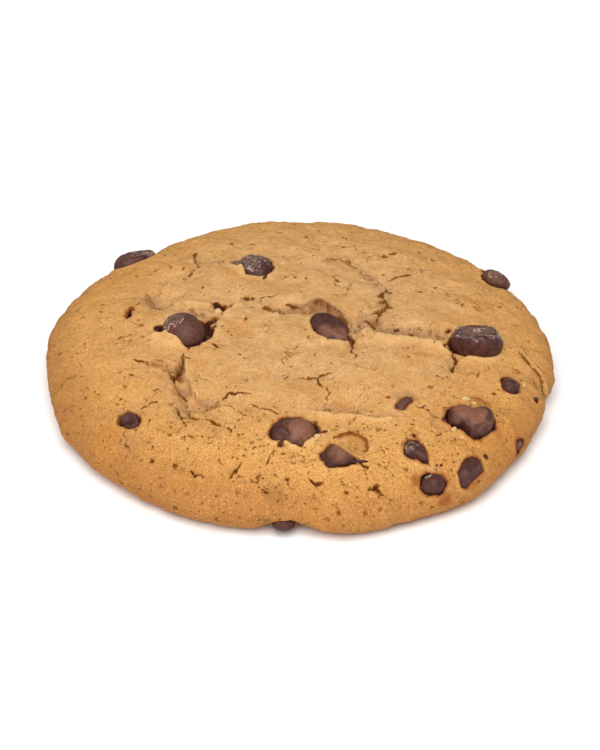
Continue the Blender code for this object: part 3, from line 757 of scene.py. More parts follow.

# %% [markdown]
# ## Sockets for the chips
# Dough rose round each chip, then shrank away from it a little: a chip sits in a socket with a crevice at its edge,
# which gets painted shade, and a soft lip outside. The distance from each point of the skin to the chip's own
# surface says where the socket is, so it follows any chip's shape, on the top and on the steep rim alike.

# %% Sink a socket round every chip
SOCKET = 2.2              # depth of the skin under a chip
SOCKET_WALL = 0.5         # how far inside the chip's edge the full depth is reached
LIP = 0.3
LIP_WIDTH = 0.7
STAIN = 0.3              # mm that chocolate crept, where a chip has no reach of its own
near_chip = np.zeros(len(net))        # 1 under a chip and beside it
cocoa_and_shade = np.zeros(len(net))            # 1 where melted chocolate stained the skin; beside the left chip, painted shade in the same dark colour
for number, (node, surface) in enumerate(shells.items()):
    if CHIPS[node].get("hangs"):
        continue
    middle, size = reaches[node]
    close = np.flatnonzero(~is_under & (np.linalg.norm(form - middle, axis=1) < size + 3.0))
    gap_to_chip, _ = chip_distance(surface, form[close])
    around = np.degrees(np.arctan2(form[close, 1] - middle[1], form[close, 0] - middle[0]))
    edge = gap_to_chip + 0.16 * noise_at(form[close], 1.5, number + 40)
    depth, over, bank = np.zeros((3, len(close)))
    for direction, spread, width, deep in CHIPS[node].get("gaps", ()):
        turn = np.abs((around - direction + 180) % 360 - 180)
        facing_it = 1.0 - ease(turn, 0.6 * spread, 1.3 * spread)
        edge = edge - width * facing_it
        depth = np.maximum(depth, deep * facing_it)
    for direction, spread, cover, height in CHIPS[node].get("tucks", ()):
        turn = np.abs((around - direction + 180) % 360 - 180)
        over = np.maximum(over, cover * (1.0 - ease(turn, 0.5 * spread, 1.2 * spread)))
        bank = np.maximum(bank, height * (1.0 - ease(turn, 0.5 * spread, 1.3 * spread)))
    edge = edge + over
    inside = 1.0 - ease(edge, -SOCKET_WALL, 0.05)
    top_side = ease(outward[close, 2], -0.6, 0.1)
    sink = np.maximum(SOCKET * inside, depth * (1.0 - ease(edge, -0.25, 0.1)))
    lift[close] = lift[close] * (1.0 - inside) - sink * top_side
    lift[close] += LIP * bell(np.maximum(edge - 0.5, -0.5), LIP_WIDTH) * (edge > 0) * top_side
    drape = np.clip(0.12 - gap_to_chip, 0.0, over + 0.12) * (over > 0) * ease(edge, -0.1, 0.25)
    lift[close] = np.where(edge > -0.1, np.maximum(lift[close], -0.3), lift[close]) + drape
    lift[close] += bank * bell(np.maximum(edge, 0.0), 1.6) * (edge > -0.4)
    near_chip[close] = np.maximum(near_chip[close], 1.0 - ease(edge, 0.2, 1.6))
    opened = np.clip(depth, 0.0, 1.0)
    # painted shade in the crevice at the chip's edge, reaching further out where a gap opens
    darken(close, np.clip(0.5 - (edge + 0.12 - 0.18 * opened) / 1.1, 0.0, 1.0), 0.95)
    crept = CHIPS[node].get("stain", STAIN)
    crept = crept * (1.0 + 0.8 * noise_at(form[close], 1.8, number + 60))
    stain = np.clip(0.3 + (crept - edge) / 1.5, 0.0, 1.0)
    cocoa_and_shade[close] = np.maximum(cocoa_and_shade[close], stain * (1.0 - ease(over, 0.1, 0.4)))
print("skin in sockets:", int((crevice > 0.9).sum()), "points")

# %% [markdown]
# ## Pores, crumbs and grain
# Steam leaves pores where it broke through the skin: hundreds of small ragged pits, most on the front and left
# where the dough is open, few on the smooth middle. Sugar and flour leave the skin grainy between them.

# %% Named hollows, stains and painted shade
# sunken skin: x, y, half-width, half-length, heading, depth, grey (floury tint and painted shade), painted brown shade,
# crumb (how pitted it is)
SUNKEN_PATCHES = (
    (20, -2.0, 9.5, 2.7, 0, 0.5, 0.9, 0.3, 1.6), (13.4, 0.2, 3.0, 4.5, -20, 0.6, 0.9, 0.15, 1.4),
    (24.5, -5.0, 2.6, 0.7, -8, 0.4, 0.3, 0.7, 0.8), (19, -3.8, 3.4, 0.8, 0, 0.3, 0.5, 0.4, 1.0),
    (15.4, 2.4, 1.2, 2.0, -30, 0.4, 0.5, 0.45, 0.6), (-18.4, -23.4, 2.8, 1.5, 0, 0.5, 0.6, 0.2, 0.9),
    (-17.0, -25.0, 3.4, 0.8, 0, 0.2, 0.6, 0.0, 0.1), (-22.4, -18.8, 1.3, 2.4, 20, 1.0, 0.8, 0.35, 0.1),
    (-23.0, -12.8, 0.6, 2.6, -5, 1.2, 0.3, 0.8, 0.1), (-22.2, -25.4, 1.4, 2.6, 15, 0.4, 0.6, 0.1, 0.1),
    (8.0, -26.0, 4.6, 1.3, 0, 0.4, 0.6, 0.15, 0.9), (15.8, -27.6, 3.0, 1.0, 5, 0.3, 0.55, 0.15, 0.2),
    (4.0, 5.4, 2.6, 1.7, -50, 1.0, 0.6, 0.5, 0.4), (6.0, 4.2, 4.4, 0.6, -58, 0.1, 0, 0.6, 0.3),
    (-0.5, 5.9, 1.9, 1.3, 0, 0.9, 0.5, 0.5, 0.3), (3.2, 7.5, 2.0, 0.8, 10, 0.7, 0.1, 0.6, 0.3),
    (-4.3, 5.0, 1.1, 0.6, 10, 0.4, 0, 0.9, 0.8), (-15.7, 6.4, 1.5, 0.9, 15, 1.2, 0, 0.85, 0.6),
    (-17.0, 2.2, 0.8, 1.4, 20, 1.3, 0, 0.9, 0.4), (-20.6, 4.6, 2.6, 1.1, -35, 0.9, 0.1, 0.5, 0.2),
    (-29.4, 11.2, 1.3, 3.0, 38, 0.5, 0.5, 0.25, 0.3), (-26.6, 8.6, 0.8, 0.8, 0, 0.9, 0, 0.9, 0.6),
    (10.4, -36.0, 2.2, 1.8, 60, 0.4, 0.1, 0.25, 0.9), 
    (20.4, -22.4, 2.6, 1.6, 0, 0.3, 0.6, 0.1, 0.6), (26.4, -27.6, 1.6, 2.6, 10, 0.5, 0.4, 0.1, 0.3),
    (3.4, -17.8, 2.2, 0.8, 0, 0.2, 0.4, 0.1, 0.5), (-1.6, -17.6, 2.4, 0.9, 0, 0.2, 0.35, 0.1, 0.5),
    (30.2, -10.6, 1.0, 2.6, 0, 0.4, 0.6, 0.1, 0.2), (10.4, -6.8, 0.9, 2.0, 0, 0.5, 0.7, 0.2, 0.2),
    (17.4, 9.4, 1.3, 3.0, -10, 0.4, 0.5, 0.3, 0.5), (14.6, 18.6, 1.4, 4.0, 40, 0.3, 0.5, 0.1, 0.4),
    (-4.4, -45.6, 2.0, 1.6, 0, 0.4, 0.1, 0.3, 0.7), (-24.4, -15.0, 1.2, 1.4, 0, 0.3, 0.6, 0.1, 0.2),
)
# a single larger pore: x, y, radius, depth
PORES = (
    (-3.4, -35.8, 1.3, 0.9),
    (12.2, 1.4, 0.6, 0.5), (13.0, -1.0, 1.0, 0.5), (14.2, -2.0, 1.2, 0.6), (15.6, -0.5, 0.9, 0.5),
    (13.6, 2.6, 0.9, 0.5), (16.9, -2.2, 1.1, 0.6), (18.6, -1.4, 1.1, 0.6), (20.5, -2.0, 1.4, 0.6),
    (19.4, -0.2, 0.8, 0.4), (22.2, -1.3, 1.1, 0.5), (23.6, -2.3, 1.2, 0.6), (25.4, -2.7, 1.5, 0.6),
    (27.0, -3.2, 1.2, 0.5), (17.8, -2.8, 0.8, 0.5), (21.6, -2.6, 0.8, 0.5), (-12.4, 7.8, 1.2, 0.7),
    (-10.6, 9.2, 1.6, 0.7),
    (-9.6, 8.9, 1.4, 0.6), (-6.6, 5.5, 1.2, 0.5), (-5.4, 5.0, 1.8, 0.8), (-4.2, 4.8, 2.6, 1.0), (-3.0, 5.2, 1.7, 0.7),
    (-2.0, 4.9, 1.2, 0.5), (18.5, 7.4, 0.9, 0.5), (16.7, 9.0, 1.0, 0.5),
    (16.2, 10.8, 0.8, 0.5), (18.4, 12.8, 0.8, 0.5), (15.6, 5.0, 1.0, 0.5),
    (-31.5, 1.5, 0.8, 0.8), (19.4, 27.6, 1.0, 0.6), (17.6, 26.4, 1.2, 0.6), (27.7, 32, 0.6, 0.5), (27.9, 28.2, 0.9, 0.5),
    (3.5, 29.5, 0.9, 0.5), (9.4, 34.8, 1.0, 0.6), (9.2, 30.4, 0.8, 0.5), (15.4, 35.8, 0.7, 0.5), (27, 22.6, 0.8, 0.4),
    (7.8, 15.5, 0.9, 0.5), (-0.8, 16.8, 0.7, 0.4), (1.4, 16.3, 0.6, 0.4), (-9.9, 32.1, 0.8, 0.5),
    (-14.2, 32.9, 0.7, 0.5), (1.4, 34.7, 0.8, 0.5), (24.4, 13.2, 0.7, 0.5), (27.8, 15.2, 0.7, 0.5), (42, 17.5, 0.6, 0.5),
    (27.8, -24.5, 0.7, 0.6), (37.6, -18, 0.7, 0.6), (17, -23, 0.5, 0.5), (-3, -17.2, 0.5, 0.4),
    (-4.5, -18.3, 0.5, 0.4), (-11.5, -10.5, 0.6, 0.5), (-32.5, -14.5, 0.8, 0.8), (-44.5, -11, 0.6, 0.5),
    (-23, -38.8, 0.9, 0.9), (-27.5, -36.8, 0.8, 0.8), (-10.2, -38.5, 0.8, 0.7), (-3, -37.8, 0.6, 0.5),
    (-34, -21, 0.7, 0.6), (-27, -19.5, 0.6, 0.5), (-13.4, 7.3, 0.6, 0.6), (-7.8, 8, 0.5, 0.5), (14.2, -44.6, 0.9, 0.9),
    (3.4, -44.4, 0.9, 0.8), (-2.2, -43.2, 0.7, 0.8), (8.6, -46.2, 0.7, 0.7), (19.6, -33.2, 0.5, 0.6),
)
# chocolate rubbed into the skin, and painted shade in the dark hollows and trench beside the left chip: x, y, radius,
# strength
SMEARS_AND_SHADE = (
    (21.6, -42.4, 1.3, 0.55), (27.0, -44.0, 1.4, 0.5), 
    (-17.9, -1.8, 1.5, 1.0), (-17.5, 0.6, 1.0, 1.0), (27.6, -27.6, 0.8, 0.85), (21.4, -33.0, 0.7, 0.8), (-27.8, -0.7, 1.1, 1.0),
    (34.4, -21.4, 1.5, 0.34), (36.4, -21.2, 1.0, 0.28), (46, -16, 0.6, 0.9), (35, -34.4, 0.5, 1.0),
    (-26.3, 8.7, 0.6, 0.75), (21.2, -31.4, 0.8, 0.3), (-17.0, 2.4, 0.9, 0.7), (29.6, -0.6, 0.8, 0.8),
    (42.8, -9.6, 0.8, 0.5), (-16.2, 6.6, 1.3, 0.85), (28.4, -44.4, 1.6, 0.22), (37.4, -28.6, 1.4, 0.3),
)
# a soft line of painted shade, of chocolate stain, or of both: width, painted shade, stain, path
SHADED_LINES = (
    (0.45, 1.0, 0, ((3.0, 9.0), (5, 7.7), (6.8, 5.1), (8.4, 2.4), (9.6, -0.6))),
    (1.1, 0.6, 0, ((3.0, 8.0), (4.6, 6.8), (6.2, 4.4), (7.8, 1.8))),
    (0.5, 0.6, 0, ((-2.2, 7.0), (-0.8, 7.3), (0.6, 6.9), (2.2, 8.2), (3.2, 9.0))),
    (0.6, 0, 0.45, ((6.6, -34.4), (8.2, -33.6), (10.4, -33.2), (12.0, -34.2), (12.7, -35.8), (12.2, -37.6))),
    (0.45, 0.9, 0, ((-22.4, -10.4), (-23.2, -12.6), (-23.6, -15.0))),
    (0.7, 1.0, 1.0, ((-33.7, 7.8), (-34.1, 6.6), (-34.7, 4.9))),
)
# orange-brown flushes where the skin took more heat: x, y, half-width, half-length, strength
FLUSHES = (
    (37, -30, 15, 14, 0.45), (4, -47, 30, 7, 0.1),
    (-12, -3, 3.4, 4.0, 0.5), (24, -9.6, 2.6, 0.9, 0.7), (36, 11, 4.0, 1.6, 0.55), (8, -25, 3.0, 1.4, 0.6),
    (34.5, -20.6, 3.0, 1.0, 0.7), (-27.6, -11.8, 1.5, 0.8, 1.0), (28, -46, 4, 2.2, 0.2), (-35, -30, 5, 5, 0.5),
    (30, -18, 4, 3, 0.25), (-16.4, -29, 2.5, 2, 0.3), (10.4, -34.2, 2.0, 0.8, 0.8), (35, -28, 5, 4, 0.3),
    (-36, 22, 6, 5, 0.3), (25, 30, 8, 3, 0.25),
)

open_crumb = openness(form[:, 0], form[:, 1])
for x, y, half_x, half_y, heading, depth, grey, dark, pitted in SUNKEN_PATCHES:
    turn = math.radians(heading)
    u = (form[:, 0] - x) * math.cos(turn) + (form[:, 1] - y) * math.sin(turn)
    v = -(form[:, 0] - x) * math.sin(turn) + (form[:, 1] - y) * math.cos(turn)
    close = np.flatnonzero(is_top & (np.hypot(u, v) < 2 * max(half_x, half_y)))
    q = np.hypot(u[close] / half_x, v[close] / half_y)
    q = q + 0.3 * noise_at(flat[close], 2.0, x) + 0.2 * noise_at(flat[close], 0.8, y)
    bowl = 1.0 - ease(q, 0.55, 1.35)
    lift[close] -= bowl * (depth + 0.4 * pitted * noise_at(flat[close], 0.9, x + 1.0))
    # each hollow is painted: brown shade deep in it, and grey, a floury tint with painted shade
    hollow_shade[close] = np.maximum(hollow_shade[close], dark * bowl)
    grey_and_shade[close] = np.maximum(grey_and_shade[close], grey * bowl)
    open_crumb[close] = np.maximum(open_crumb[close], 1.2 * pitted * bowl)
for x, y, radius, strength in SMEARS_AND_SHADE:
    away = np.hypot(form[:, 0] - x, form[:, 1] - y)
    close = np.flatnonzero(is_top & (away < 3 * radius))
    ragged = away[close] + 0.45 * radius * noise_at(flat[close], 1.0, y)
    cocoa_and_shade[close] = np.maximum(cocoa_and_shade[close], strength * (1.0 - ease(ragged, 0.5 * radius, 1.35 * radius)))
for width, dark, stained, path in SHADED_LINES:
    close = near_path(plan_x, plan_y, path, 4 * width)
    away, _, along, length, _, _ = to_line(torn_x[close], torn_y[close], path)
    strength = bell(away, width) * ease(np.minimum(along, length - along), -0.4, 0.6)
    hollow_shade[close] = np.maximum(hollow_shade[close], dark * strength)
    cocoa_and_shade[close] = np.maximum(cocoa_and_shade[close], stained * strength)
flush = 0.25 * ease(noise_at(form, 8.0, 35), 0.0, 0.8)
for x, y, half_x, half_y, strength in FLUSHES:
    q = np.hypot((form[:, 0] - x) / half_x, (form[:, 1] - y) / half_y)
    flush = np.maximum(flush, strength * (1.0 - ease(q, 0.2, 1.3)) * is_top)

# %% Prick the pores
PORE_COUNT = 210
PORE_SIZES = (0.1, 0.3)
pore_tree = kdtree.KDTree(len(form))
for index, point in enumerate(form):
    pore_tree.insert(point, index)
pore_tree.balance()


def prick(place, radius, depth, stretch, bearing, dark):
    """One ragged pit, longer one way than the other."""
    found = pore_tree.find_range(place, radius * stretch * 1.6 + 0.3)
    if not found:
        return
    index = np.array([item[1] for item in found])
    step = form[index] - np.array(place)
    u = step[:, 0] * math.cos(bearing) + step[:, 1] * math.sin(bearing)
    v = np.sqrt(np.maximum((step ** 2).sum(axis=1) - u * u, 0.0))
    q = np.hypot(u / (radius * stretch), v / radius) + 0.8 * noise_at(form[index], 0.6, bearing)
    lift[index] -= depth * (1.0 - ease(q, 0.2, 1.3))
    darken(index, np.clip(1.05 - 0.6 * q, 0.0, 1.0), dark)


for x, y, radius, depth in PORES:
    prick((x, y, float(top_height(x, y))), 0.45 * radius, depth, CHANCE.uniform(1.0, 2.0), CHANCE.uniform(-0.8, 0.8), 0.9)
made = 0
candidates = np.flatnonzero(is_top | is_foot)
while made < PORE_COUNT:
    index = int(candidates[CHANCE.randrange(len(candidates))])
    x, y, z = form[index]
    if CHANCE.random() > openness(x, y):
        continue
    radius = PORE_SIZES[0] + (PORE_SIZES[1] - PORE_SIZES[0]) * CHANCE.random() ** 3
    prick((x, y, z), radius, radius * CHANCE.uniform(0.7, 1.5), CHANCE.uniform(1.0, 2.6),
          CHANCE.gauss(0.0, 0.9), CHANCE.uniform(0.5, 0.95))
    made += 1
print("pores:", made + len(PORES), "skin in the dark:", int((crevice > 0.5).sum()), "points")

# %% Swell and grain of the skin
# size of a lump in mm, and how far it stands out or in
SWELLS = ((9.0, 0.4), (4.2, 0.32), (1.9, 0.17), (0.9, 0.08))
calm = 1.0 - 0.15 * bell(np.hypot(form[:, 0] - 2, form[:, 1] + 6), 24)
calm = calm * (1.0 - 0.22 * ease(-form[:, 1], 8, 30)) * (1.0 + 0.14 * ease(form[:, 1], 2, 20))
calm = calm * (1.0 - 0.85 * near_chip)
# raised lips and crests get a painted highlight in the material
crest = ease(lift, 0.1, 0.5)
for number, (size, height) in enumerate(SWELLS):
    lift += np.where(is_under, 0.0, height * calm * noise_at(form, size, number + 10))

# %% [markdown]
# The underside baked flat on a tray, so it only has what a flat plate leaves: shallow pits where steam was
# caught, and nothing that stands below the plate.

# %% Pit the underside
pits = noise_at(form, 2.2, 30, 3) + 0.7 * noise_at(form, 0.9, 31)
under_depth = 0.35 * ease(pits, 0.15, 0.9) + 0.05 * ease(noise_at(form, 6, 32), -0.5, 0.8)
lift = np.where(is_under, -under_depth, lift)
# the underside's pits get painted shade
crevice = np.where(is_under, ease(pits, 0.2, 1.1), crevice)
murk = np.where(is_under, 0.6, murk)
sculpted = form + outward * lift[:, None]
sculpted[:, 2] = np.maximum(sculpted[:, 2], 0.0)
move_points(dough, sculpted + np.array(SHIFT))
dough.data.shade_smooth()
paint(dough, "crevice", crevice)
paint(dough, "murk", murk)
paint(dough, "grey_and_shade", grey_and_shade)
paint(dough, "hollow_shade", hollow_shade)
paint(dough, "gilding", ease(np.hypot(form[:, 0] - 2, form[:, 1] - 5), 19, 48))
paint(dough, "open_crumb", open_crumb)
paint(dough, "flush", flush)
paint(dough, "crest", crest)
paint(dough, "cocoa_and_shade", cocoa_and_shade)
# the brown band is stronger and reaches higher up on the front left, and a little on the front right
browner_sides = bell((np.degrees(angle) + 138.0 + 180.0) % 360.0 - 180.0, 60.0) \
    + 0.35 * bell((np.degrees(angle) + 42.0 + 180.0) % 360.0 - 180.0, 24.0)
band = np.where(is_foot, 1.0, 1.0 - ease(share, 0.0, 0.09 + 0.13 * browner_sides))
browning = band * (0.62 + 0.36 * browner_sides + 0.25 * noise_at(form, 5, 33))
paint(dough, "browning", np.where(is_under, 1.0, browning))
print("dough from", sculpted.min(axis=0).round(2), "to", sculpted.max(axis=0).round(2))

# %% [markdown]
# ## Specks and crumbs
# Splinters broke off the chips and lie in the skin as dark specks, some as a thin tail beside their chip. A few
# pale crumbs of dry flour are stuck beside the chips and in the trench. Each is a small pressed ball like the
# chips, roughened by noise, and each kind is joined into one piece.

# %% Scatter them where they lie
# x, y, long, wide, tall, heading, how far it stands out of the skin
SPECKS = (
    (-26.4, 8.6, 1.2, 0.9, 0.8, 20, -0.1), (46.0, -15.8, 1.0, 0.7, 0.8, 0, 0.0), (35.0, -34.3, 1.0, 0.6, 0.6, 70, -0.1),
    (11.0, -40.2, 3.6, 0.5, 0.7, -3, -0.1), (12.7, -40.8, 1.1, 0.4, 0.5, -65, -0.1),
    (3.4, -32.2, 2.4, 0.8, 0.7, -45, -0.2), (4.6, -33.2, 1.4, 0.5, 0.5, -25, -0.1), (21.4, -33.4, 0.9, 0.7, 0.7, 0, -0.25),
    (-7.0, 16.4, 1.4, 0.6, 0.7, -60, -0.1), (-16.9, 2.4, 1.8, 1.0, 0.9, 50, -0.2), (-16.6, 6.3, 1.4, 0.9, 0.8, 0, -0.2),
    (27.5, -27.8, 0.6, 1.0, 0.5, 0, -0.15), (23.6, -24.9, 1.0, 0.4, 0.5, -45, -0.15),
)
CRUMBS = (
    (-16.2, 4.7, 1.7, 1.3, 1.2, 10, 0.4), (31.8, -21.7, 1.8, 1.0, 1.0, 0, 0.1), (33.4, -22.2, 0.9, 0.7, 0.7, 0, 0.1),
    (30.4, -31.8, 1.3, 0.8, 0.8, 40, 0.0), (29.0, -30.6, 1.4, 0.7, 0.7, -50, 0.0), (3.4, -34.6, 1.3, 1.1, 1.0, 0, 0.1),
    (43.6, -13.4, 1.5, 0.6, 0.6, 80, 0.0),
)
CRUMB_ROUGHNESS = 0.12
skin_points = sculpted[is_top]


def scatter(name, places):
    """Small uneven lumps pressed into the skin, joined into one piece."""
    lumps = []
    for x, y, long, wide, tall, heading, out in places:
        nearest_skin = skin_points[np.argmin(np.hypot(skin_points[:, 0] - x, skin_points[:, 1] - y))]
        bpy.ops.object.select_all(action="DESELECT")
        bpy.ops.mesh.primitive_ico_sphere_add(subdivisions=4, radius=0.5)
        lump = bpy.context.object
        bpy.ops.object.mode_set(mode="EDIT")
        bpy.ops.mesh.select_all(action="SELECT")
        bpy.ops.transform.resize(value=(long, wide, tall))
        bpy.ops.transform.rotate(value=math.radians(heading), orient_axis="Z", center_override=(0, 0, 0))
        bpy.ops.object.mode_set(mode="OBJECT")
        points, normals = points_of(lump), normals_of(lump)
        wobble = noise_at(points, 0.7, x) + 0.5 * noise_at(points, 0.3, y)
        points = points + normals * (CRUMB_ROUGHNESS * wobble)[:, None]
        move_points(lump, points + (x, y, nearest_skin[2] + out) + np.array(SHIFT))
        lumps.append(lump)
    bpy.ops.object.select_all(action="DESELECT")
    for lump in lumps:
        lump.select_set(True)
    bpy.context.view_layer.objects.active = lumps[0]
    bpy.ops.object.join()
    lumps[0].name = lumps[0].data.name = name
    lumps[0].data.shade_smooth()
    return lumps[0]


specks = scatter("chocolate_specks", SPECKS)
crumbs = scatter("pale_crumbs", CRUMBS)
print("specks:", len(SPECKS), "crumbs:", len(CRUMBS))

# %% [markdown]
# ## Finishes
# Every colour is written as it looks on a screen and turned to the linear values that light works with. One
# small function adds a node with its settings and its links, so a material reads as a list of steps.

# %% Node and colour helpers
def tint(code):
    """A #RRGGBB colour as linear red, green, blue and full opacity."""
    channels = [int(code[i:i + 2], 16) / 255 for i in (1, 3, 5)]
    return [c / 12.92 if c <= 0.04045 else ((c + 0.055) / 1.055) ** 2.4 for c in channels] + [1.0]


def start_material(name):
    material = bpy.data.materials.new(name)
    material.use_nodes = True
    return material, material.node_tree.nodes["Principled BSDF"]


def add_node(material, kind, settings=None, feeds=None):
    """One node: settings name its properties or set its sockets, feeds say what drives a socket."""
    node = material.node_tree.nodes.new("ShaderNode" + kind)
    for key, value in (settings or {}).items():
        if isinstance(key, str) and hasattr(node, key):
            setattr(node, key, value)
        else:
            node.inputs[key].default_value = value
    for key, source in (feeds or {}).items():
        material.node_tree.links.new(source, node.inputs[key])
    return node


def link(material, source, target):
    material.node_tree.links.new(source, target)


PER_MM = 1000.0           # Object coordinates are in metres, so one lump per mm is a scale of 1000
MIX_FACTOR, MIX_A, MIX_B, MIX_OUT = 0, 6, 7, 2

# %% [markdown]
# ### Baked dough
# The crust is flour, butter and sugar browned by the oven: a matt, sandy gold. It goes darker and redder
# where it is thin or lies against the tray. Sunken skin is grey-brown, a floury tint with painted shade, and
# hollows, cracks and pits get painted shade, brown to near-black where little light comes back out; raised lips get
# a painted highlight. Grain and pinholes finer than the net are drawn by the material.

# %% Oven-browned dough: its colour
baked, crust = start_material("oven_browned_cookie_dough")
place = add_node(baked, "TexCoord").outputs["Object"]
felt = {}
for name in ("crevice", "murk", "grey_and_shade", "hollow_shade", "cocoa_and_shade", "browning", "gilding", "flush", "open_crumb", "crest"):
    felt[name] = add_node(baked, "Attribute", {"attribute_name": name}).outputs["Fac"]

MOTTLE = 3.2              # mm, patches of paler and deeper gold
GRAIN = 0.27              # mm, sugar and flour grains; the real ones are finer, drawn so that they show
SPECK = 0.9               # mm, the spread of darker and lighter crumbs
mottle = add_node(baked, "TexNoise", {"Scale": PER_MM / MOTTLE, "Detail": 4.0, "Roughness": 0.6}, {"Vector": place})
patch = add_node(baked, "MapRange", {"From Min": 0.35, "From Max": 0.65}, {"Value": mottle.outputs["Fac"]})
pale = add_node(baked, "Mix", {"data_type": "RGBA", MIX_A: tint("#DBAC74"), MIX_B: tint("#CE9A5F")},
                {MIX_FACTOR: patch.outputs["Result"]})
gilt = add_node(baked, "Math", {"operation": "MULTIPLY", 1: 0.8}, {0: felt["gilding"]})
gold = add_node(baked, "Mix", {"data_type": "RGBA", MIX_B: tint("#CF9650")},
                {MIX_FACTOR: gilt.outputs[0], MIX_A: pale.outputs[MIX_OUT]})
toasted = add_node(baked, "Mix", {"data_type": "RGBA", MIX_B: tint("#AB733D")},
                   {MIX_FACTOR: felt["browning"], MIX_A: gold.outputs[MIX_OUT]})
flushed = add_node(baked, "Mix", {"data_type": "RGBA", MIX_B: tint("#C07F38")},
                   {MIX_FACTOR: felt["flush"], MIX_A: toasted.outputs[MIX_OUT]})
grain = add_node(baked, "TexNoise", {"Scale": PER_MM / GRAIN, "Detail": 3.0, "Roughness": 0.6}, {"Vector": place})
speck = add_node(baked, "TexNoise", {"Scale": PER_MM / SPECK, "Detail": 3.0, "Roughness": 0.65}, {"Vector": place})
sugary = add_node(baked, "Math", {"operation": "MULTIPLY_ADD", 1: 0.3, 2: 1.08}, {0: felt["open_crumb"]})
grain_light = add_node(baked, "MapRange", {"From Min": 0.3, "From Max": 0.7, "To Min": 0.76},
                       {"Value": grain.outputs["Fac"], "To Max": sugary.outputs[0]})
speck_light = add_node(baked, "MapRange", {"From Min": 0.3, "From Max": 0.7, "To Min": 0.9, "To Max": 1.1},
                       {"Value": speck.outputs["Fac"]})
sand = add_node(baked, "MapRange", {"From Min": 0.47, "From Max": 0.37}, {"Value": grain.outputs["Fac"]})
sandier = add_node(baked, "Math", {"operation": "MULTIPLY_ADD", 1: 0.85, 2: 0.06}, {0: felt["open_crumb"]})
blotch = add_node(baked, "MapRange", {"From Min": 0.44, "From Max": 0.32, "To Max": 0.7},
                  {"Value": speck.outputs["Fac"]})
darker = add_node(baked, "Math", {"operation": "MAXIMUM"}, {0: sand.outputs["Result"], 1: blotch.outputs["Result"]})
sand_in = add_node(baked, "Math", {"operation": "MULTIPLY"}, {0: darker.outputs[0], 1: sandier.outputs[0]})
both = add_node(baked, "Math", {"operation": "MULTIPLY"},
                {0: grain_light.outputs["Result"], 1: speck_light.outputs["Result"]})
grained = add_node(baked, "VectorMath", {"operation": "SCALE"},
                   {0: flushed.outputs[MIX_OUT], 3: both.outputs[0]})
sanded = add_node(baked, "Mix", {"data_type": "RGBA", MIX_B: tint("#B27636")},
                  {MIX_FACTOR: sand_in.outputs[0], MIX_A: grained.outputs[0]})
sparkle = add_node(baked, "MapRange", {"From Min": 0.6, "From Max": 0.7}, {"Value": grain.outputs["Fac"]})
sweeter = add_node(baked, "Math", {"operation": "MULTIPLY_ADD", 1: 0.55, 2: 0.2}, {0: felt["open_crumb"]})
sugar_in = add_node(baked, "Math", {"operation": "MULTIPLY"}, {0: sparkle.outputs["Result"], 1: sweeter.outputs[0]})
sugared = add_node(baked, "Mix", {"data_type": "RGBA", MIX_B: tint("#EAC694")},
                   {MIX_FACTOR: sugar_in.outputs[0], MIX_A: sanded.outputs[MIX_OUT]})
# painted highlight on raised lips and crests
crested = add_node(baked, "Math", {"operation": "MULTIPLY", 1: 0.55}, {0: felt["crest"]})
lit = add_node(baked, "Mix", {"data_type": "RGBA", MIX_B: tint("#E2B476")},
               {MIX_FACTOR: crested.outputs[0], MIX_A: sugared.outputs[MIX_OUT]})
# sunken skin: a grey-brown floury tint with painted shade
grey_shade_share = add_node(baked, "Math", {"operation": "MULTIPLY", 1: 0.6}, {0: felt["grey_and_shade"]})
grey_shaded = add_node(baked, "Mix", {"data_type": "RGBA", MIX_B: tint("#A58666")},
                      {MIX_FACTOR: grey_shade_share.outputs[0], MIX_A: lit.outputs[MIX_OUT]})
# painted brown shade deep in hollows and along the shaded lines
hollow_shaded = add_node(baked, "Mix", {"data_type": "RGBA", MIX_B: tint("#7E4E2A")},
                  {MIX_FACTOR: felt["hollow_shade"], MIX_A: grey_shaded.outputs[MIX_OUT]})

# %% [markdown]
# The cracks and pores are written on the net as a soft field. Adding fine noise to it and cutting it off at its
# middle gives ragged, crisp edges, finer than the net itself. The smallest pits have no place on the net: they
# come from two cell patterns, whose cells open only where the crumb is open. Hair cracks are the thin line
# where a noise crosses its middle value.

# %% Oven-browned dough: painted shade in cracks, pits and hair cracks
PIT = 1.3                 # mm between the larger pits
PINHOLE = 0.7             # mm between the smaller ones
HAIR = 2.6                # mm, the wandering of a hair crack
CLEARING = 4.0            # mm, patches that have hair cracks and patches that have none
tooth = add_node(baked, "Math", {"operation": "MULTIPLY_ADD", 1: 1.3, 2: -0.68}, {0: grain.outputs["Fac"]})
some = add_node(baked, "MapRange", {"From Min": 0.0, "From Max": 0.2}, {"Value": felt["crevice"]})
toothed = add_node(baked, "Math", {"operation": "MULTIPLY"}, {0: tooth.outputs[0], 1: some.outputs["Result"]})
torn = add_node(baked, "Math", {"operation": "ADD"}, {0: felt["crevice"], 1: toothed.outputs[0]})
in_crack = add_node(baked, "MapRange", {"interpolation_type": "SMOOTHSTEP", "From Min": 0.34, "From Max": 0.6},
                    {"Value": torn.outputs[0]})
in_depth = add_node(baked, "MapRange", {"interpolation_type": "SMOOTHSTEP", "From Min": 0.5, "From Max": 0.9},
                    {"Value": torn.outputs[0]})
# painted shade inside cracks, pores and the crevices round the chips: brown, and near-black deeper in
brown_share = add_node(baked, "MapRange", {"From Min": 0.0, "From Max": 0.6}, {"Value": felt["murk"]})
black_share = add_node(baked, "MapRange", {"From Min": 0.5, "From Max": 1.0}, {"Value": felt["murk"]})
brown_in = add_node(baked, "Math", {"operation": "MULTIPLY"},
                    {0: in_crack.outputs["Result"], 1: brown_share.outputs["Result"]})
black_in = add_node(baked, "Math", {"operation": "MULTIPLY"},
                    {0: in_depth.outputs["Result"], 1: black_share.outputs["Result"]})

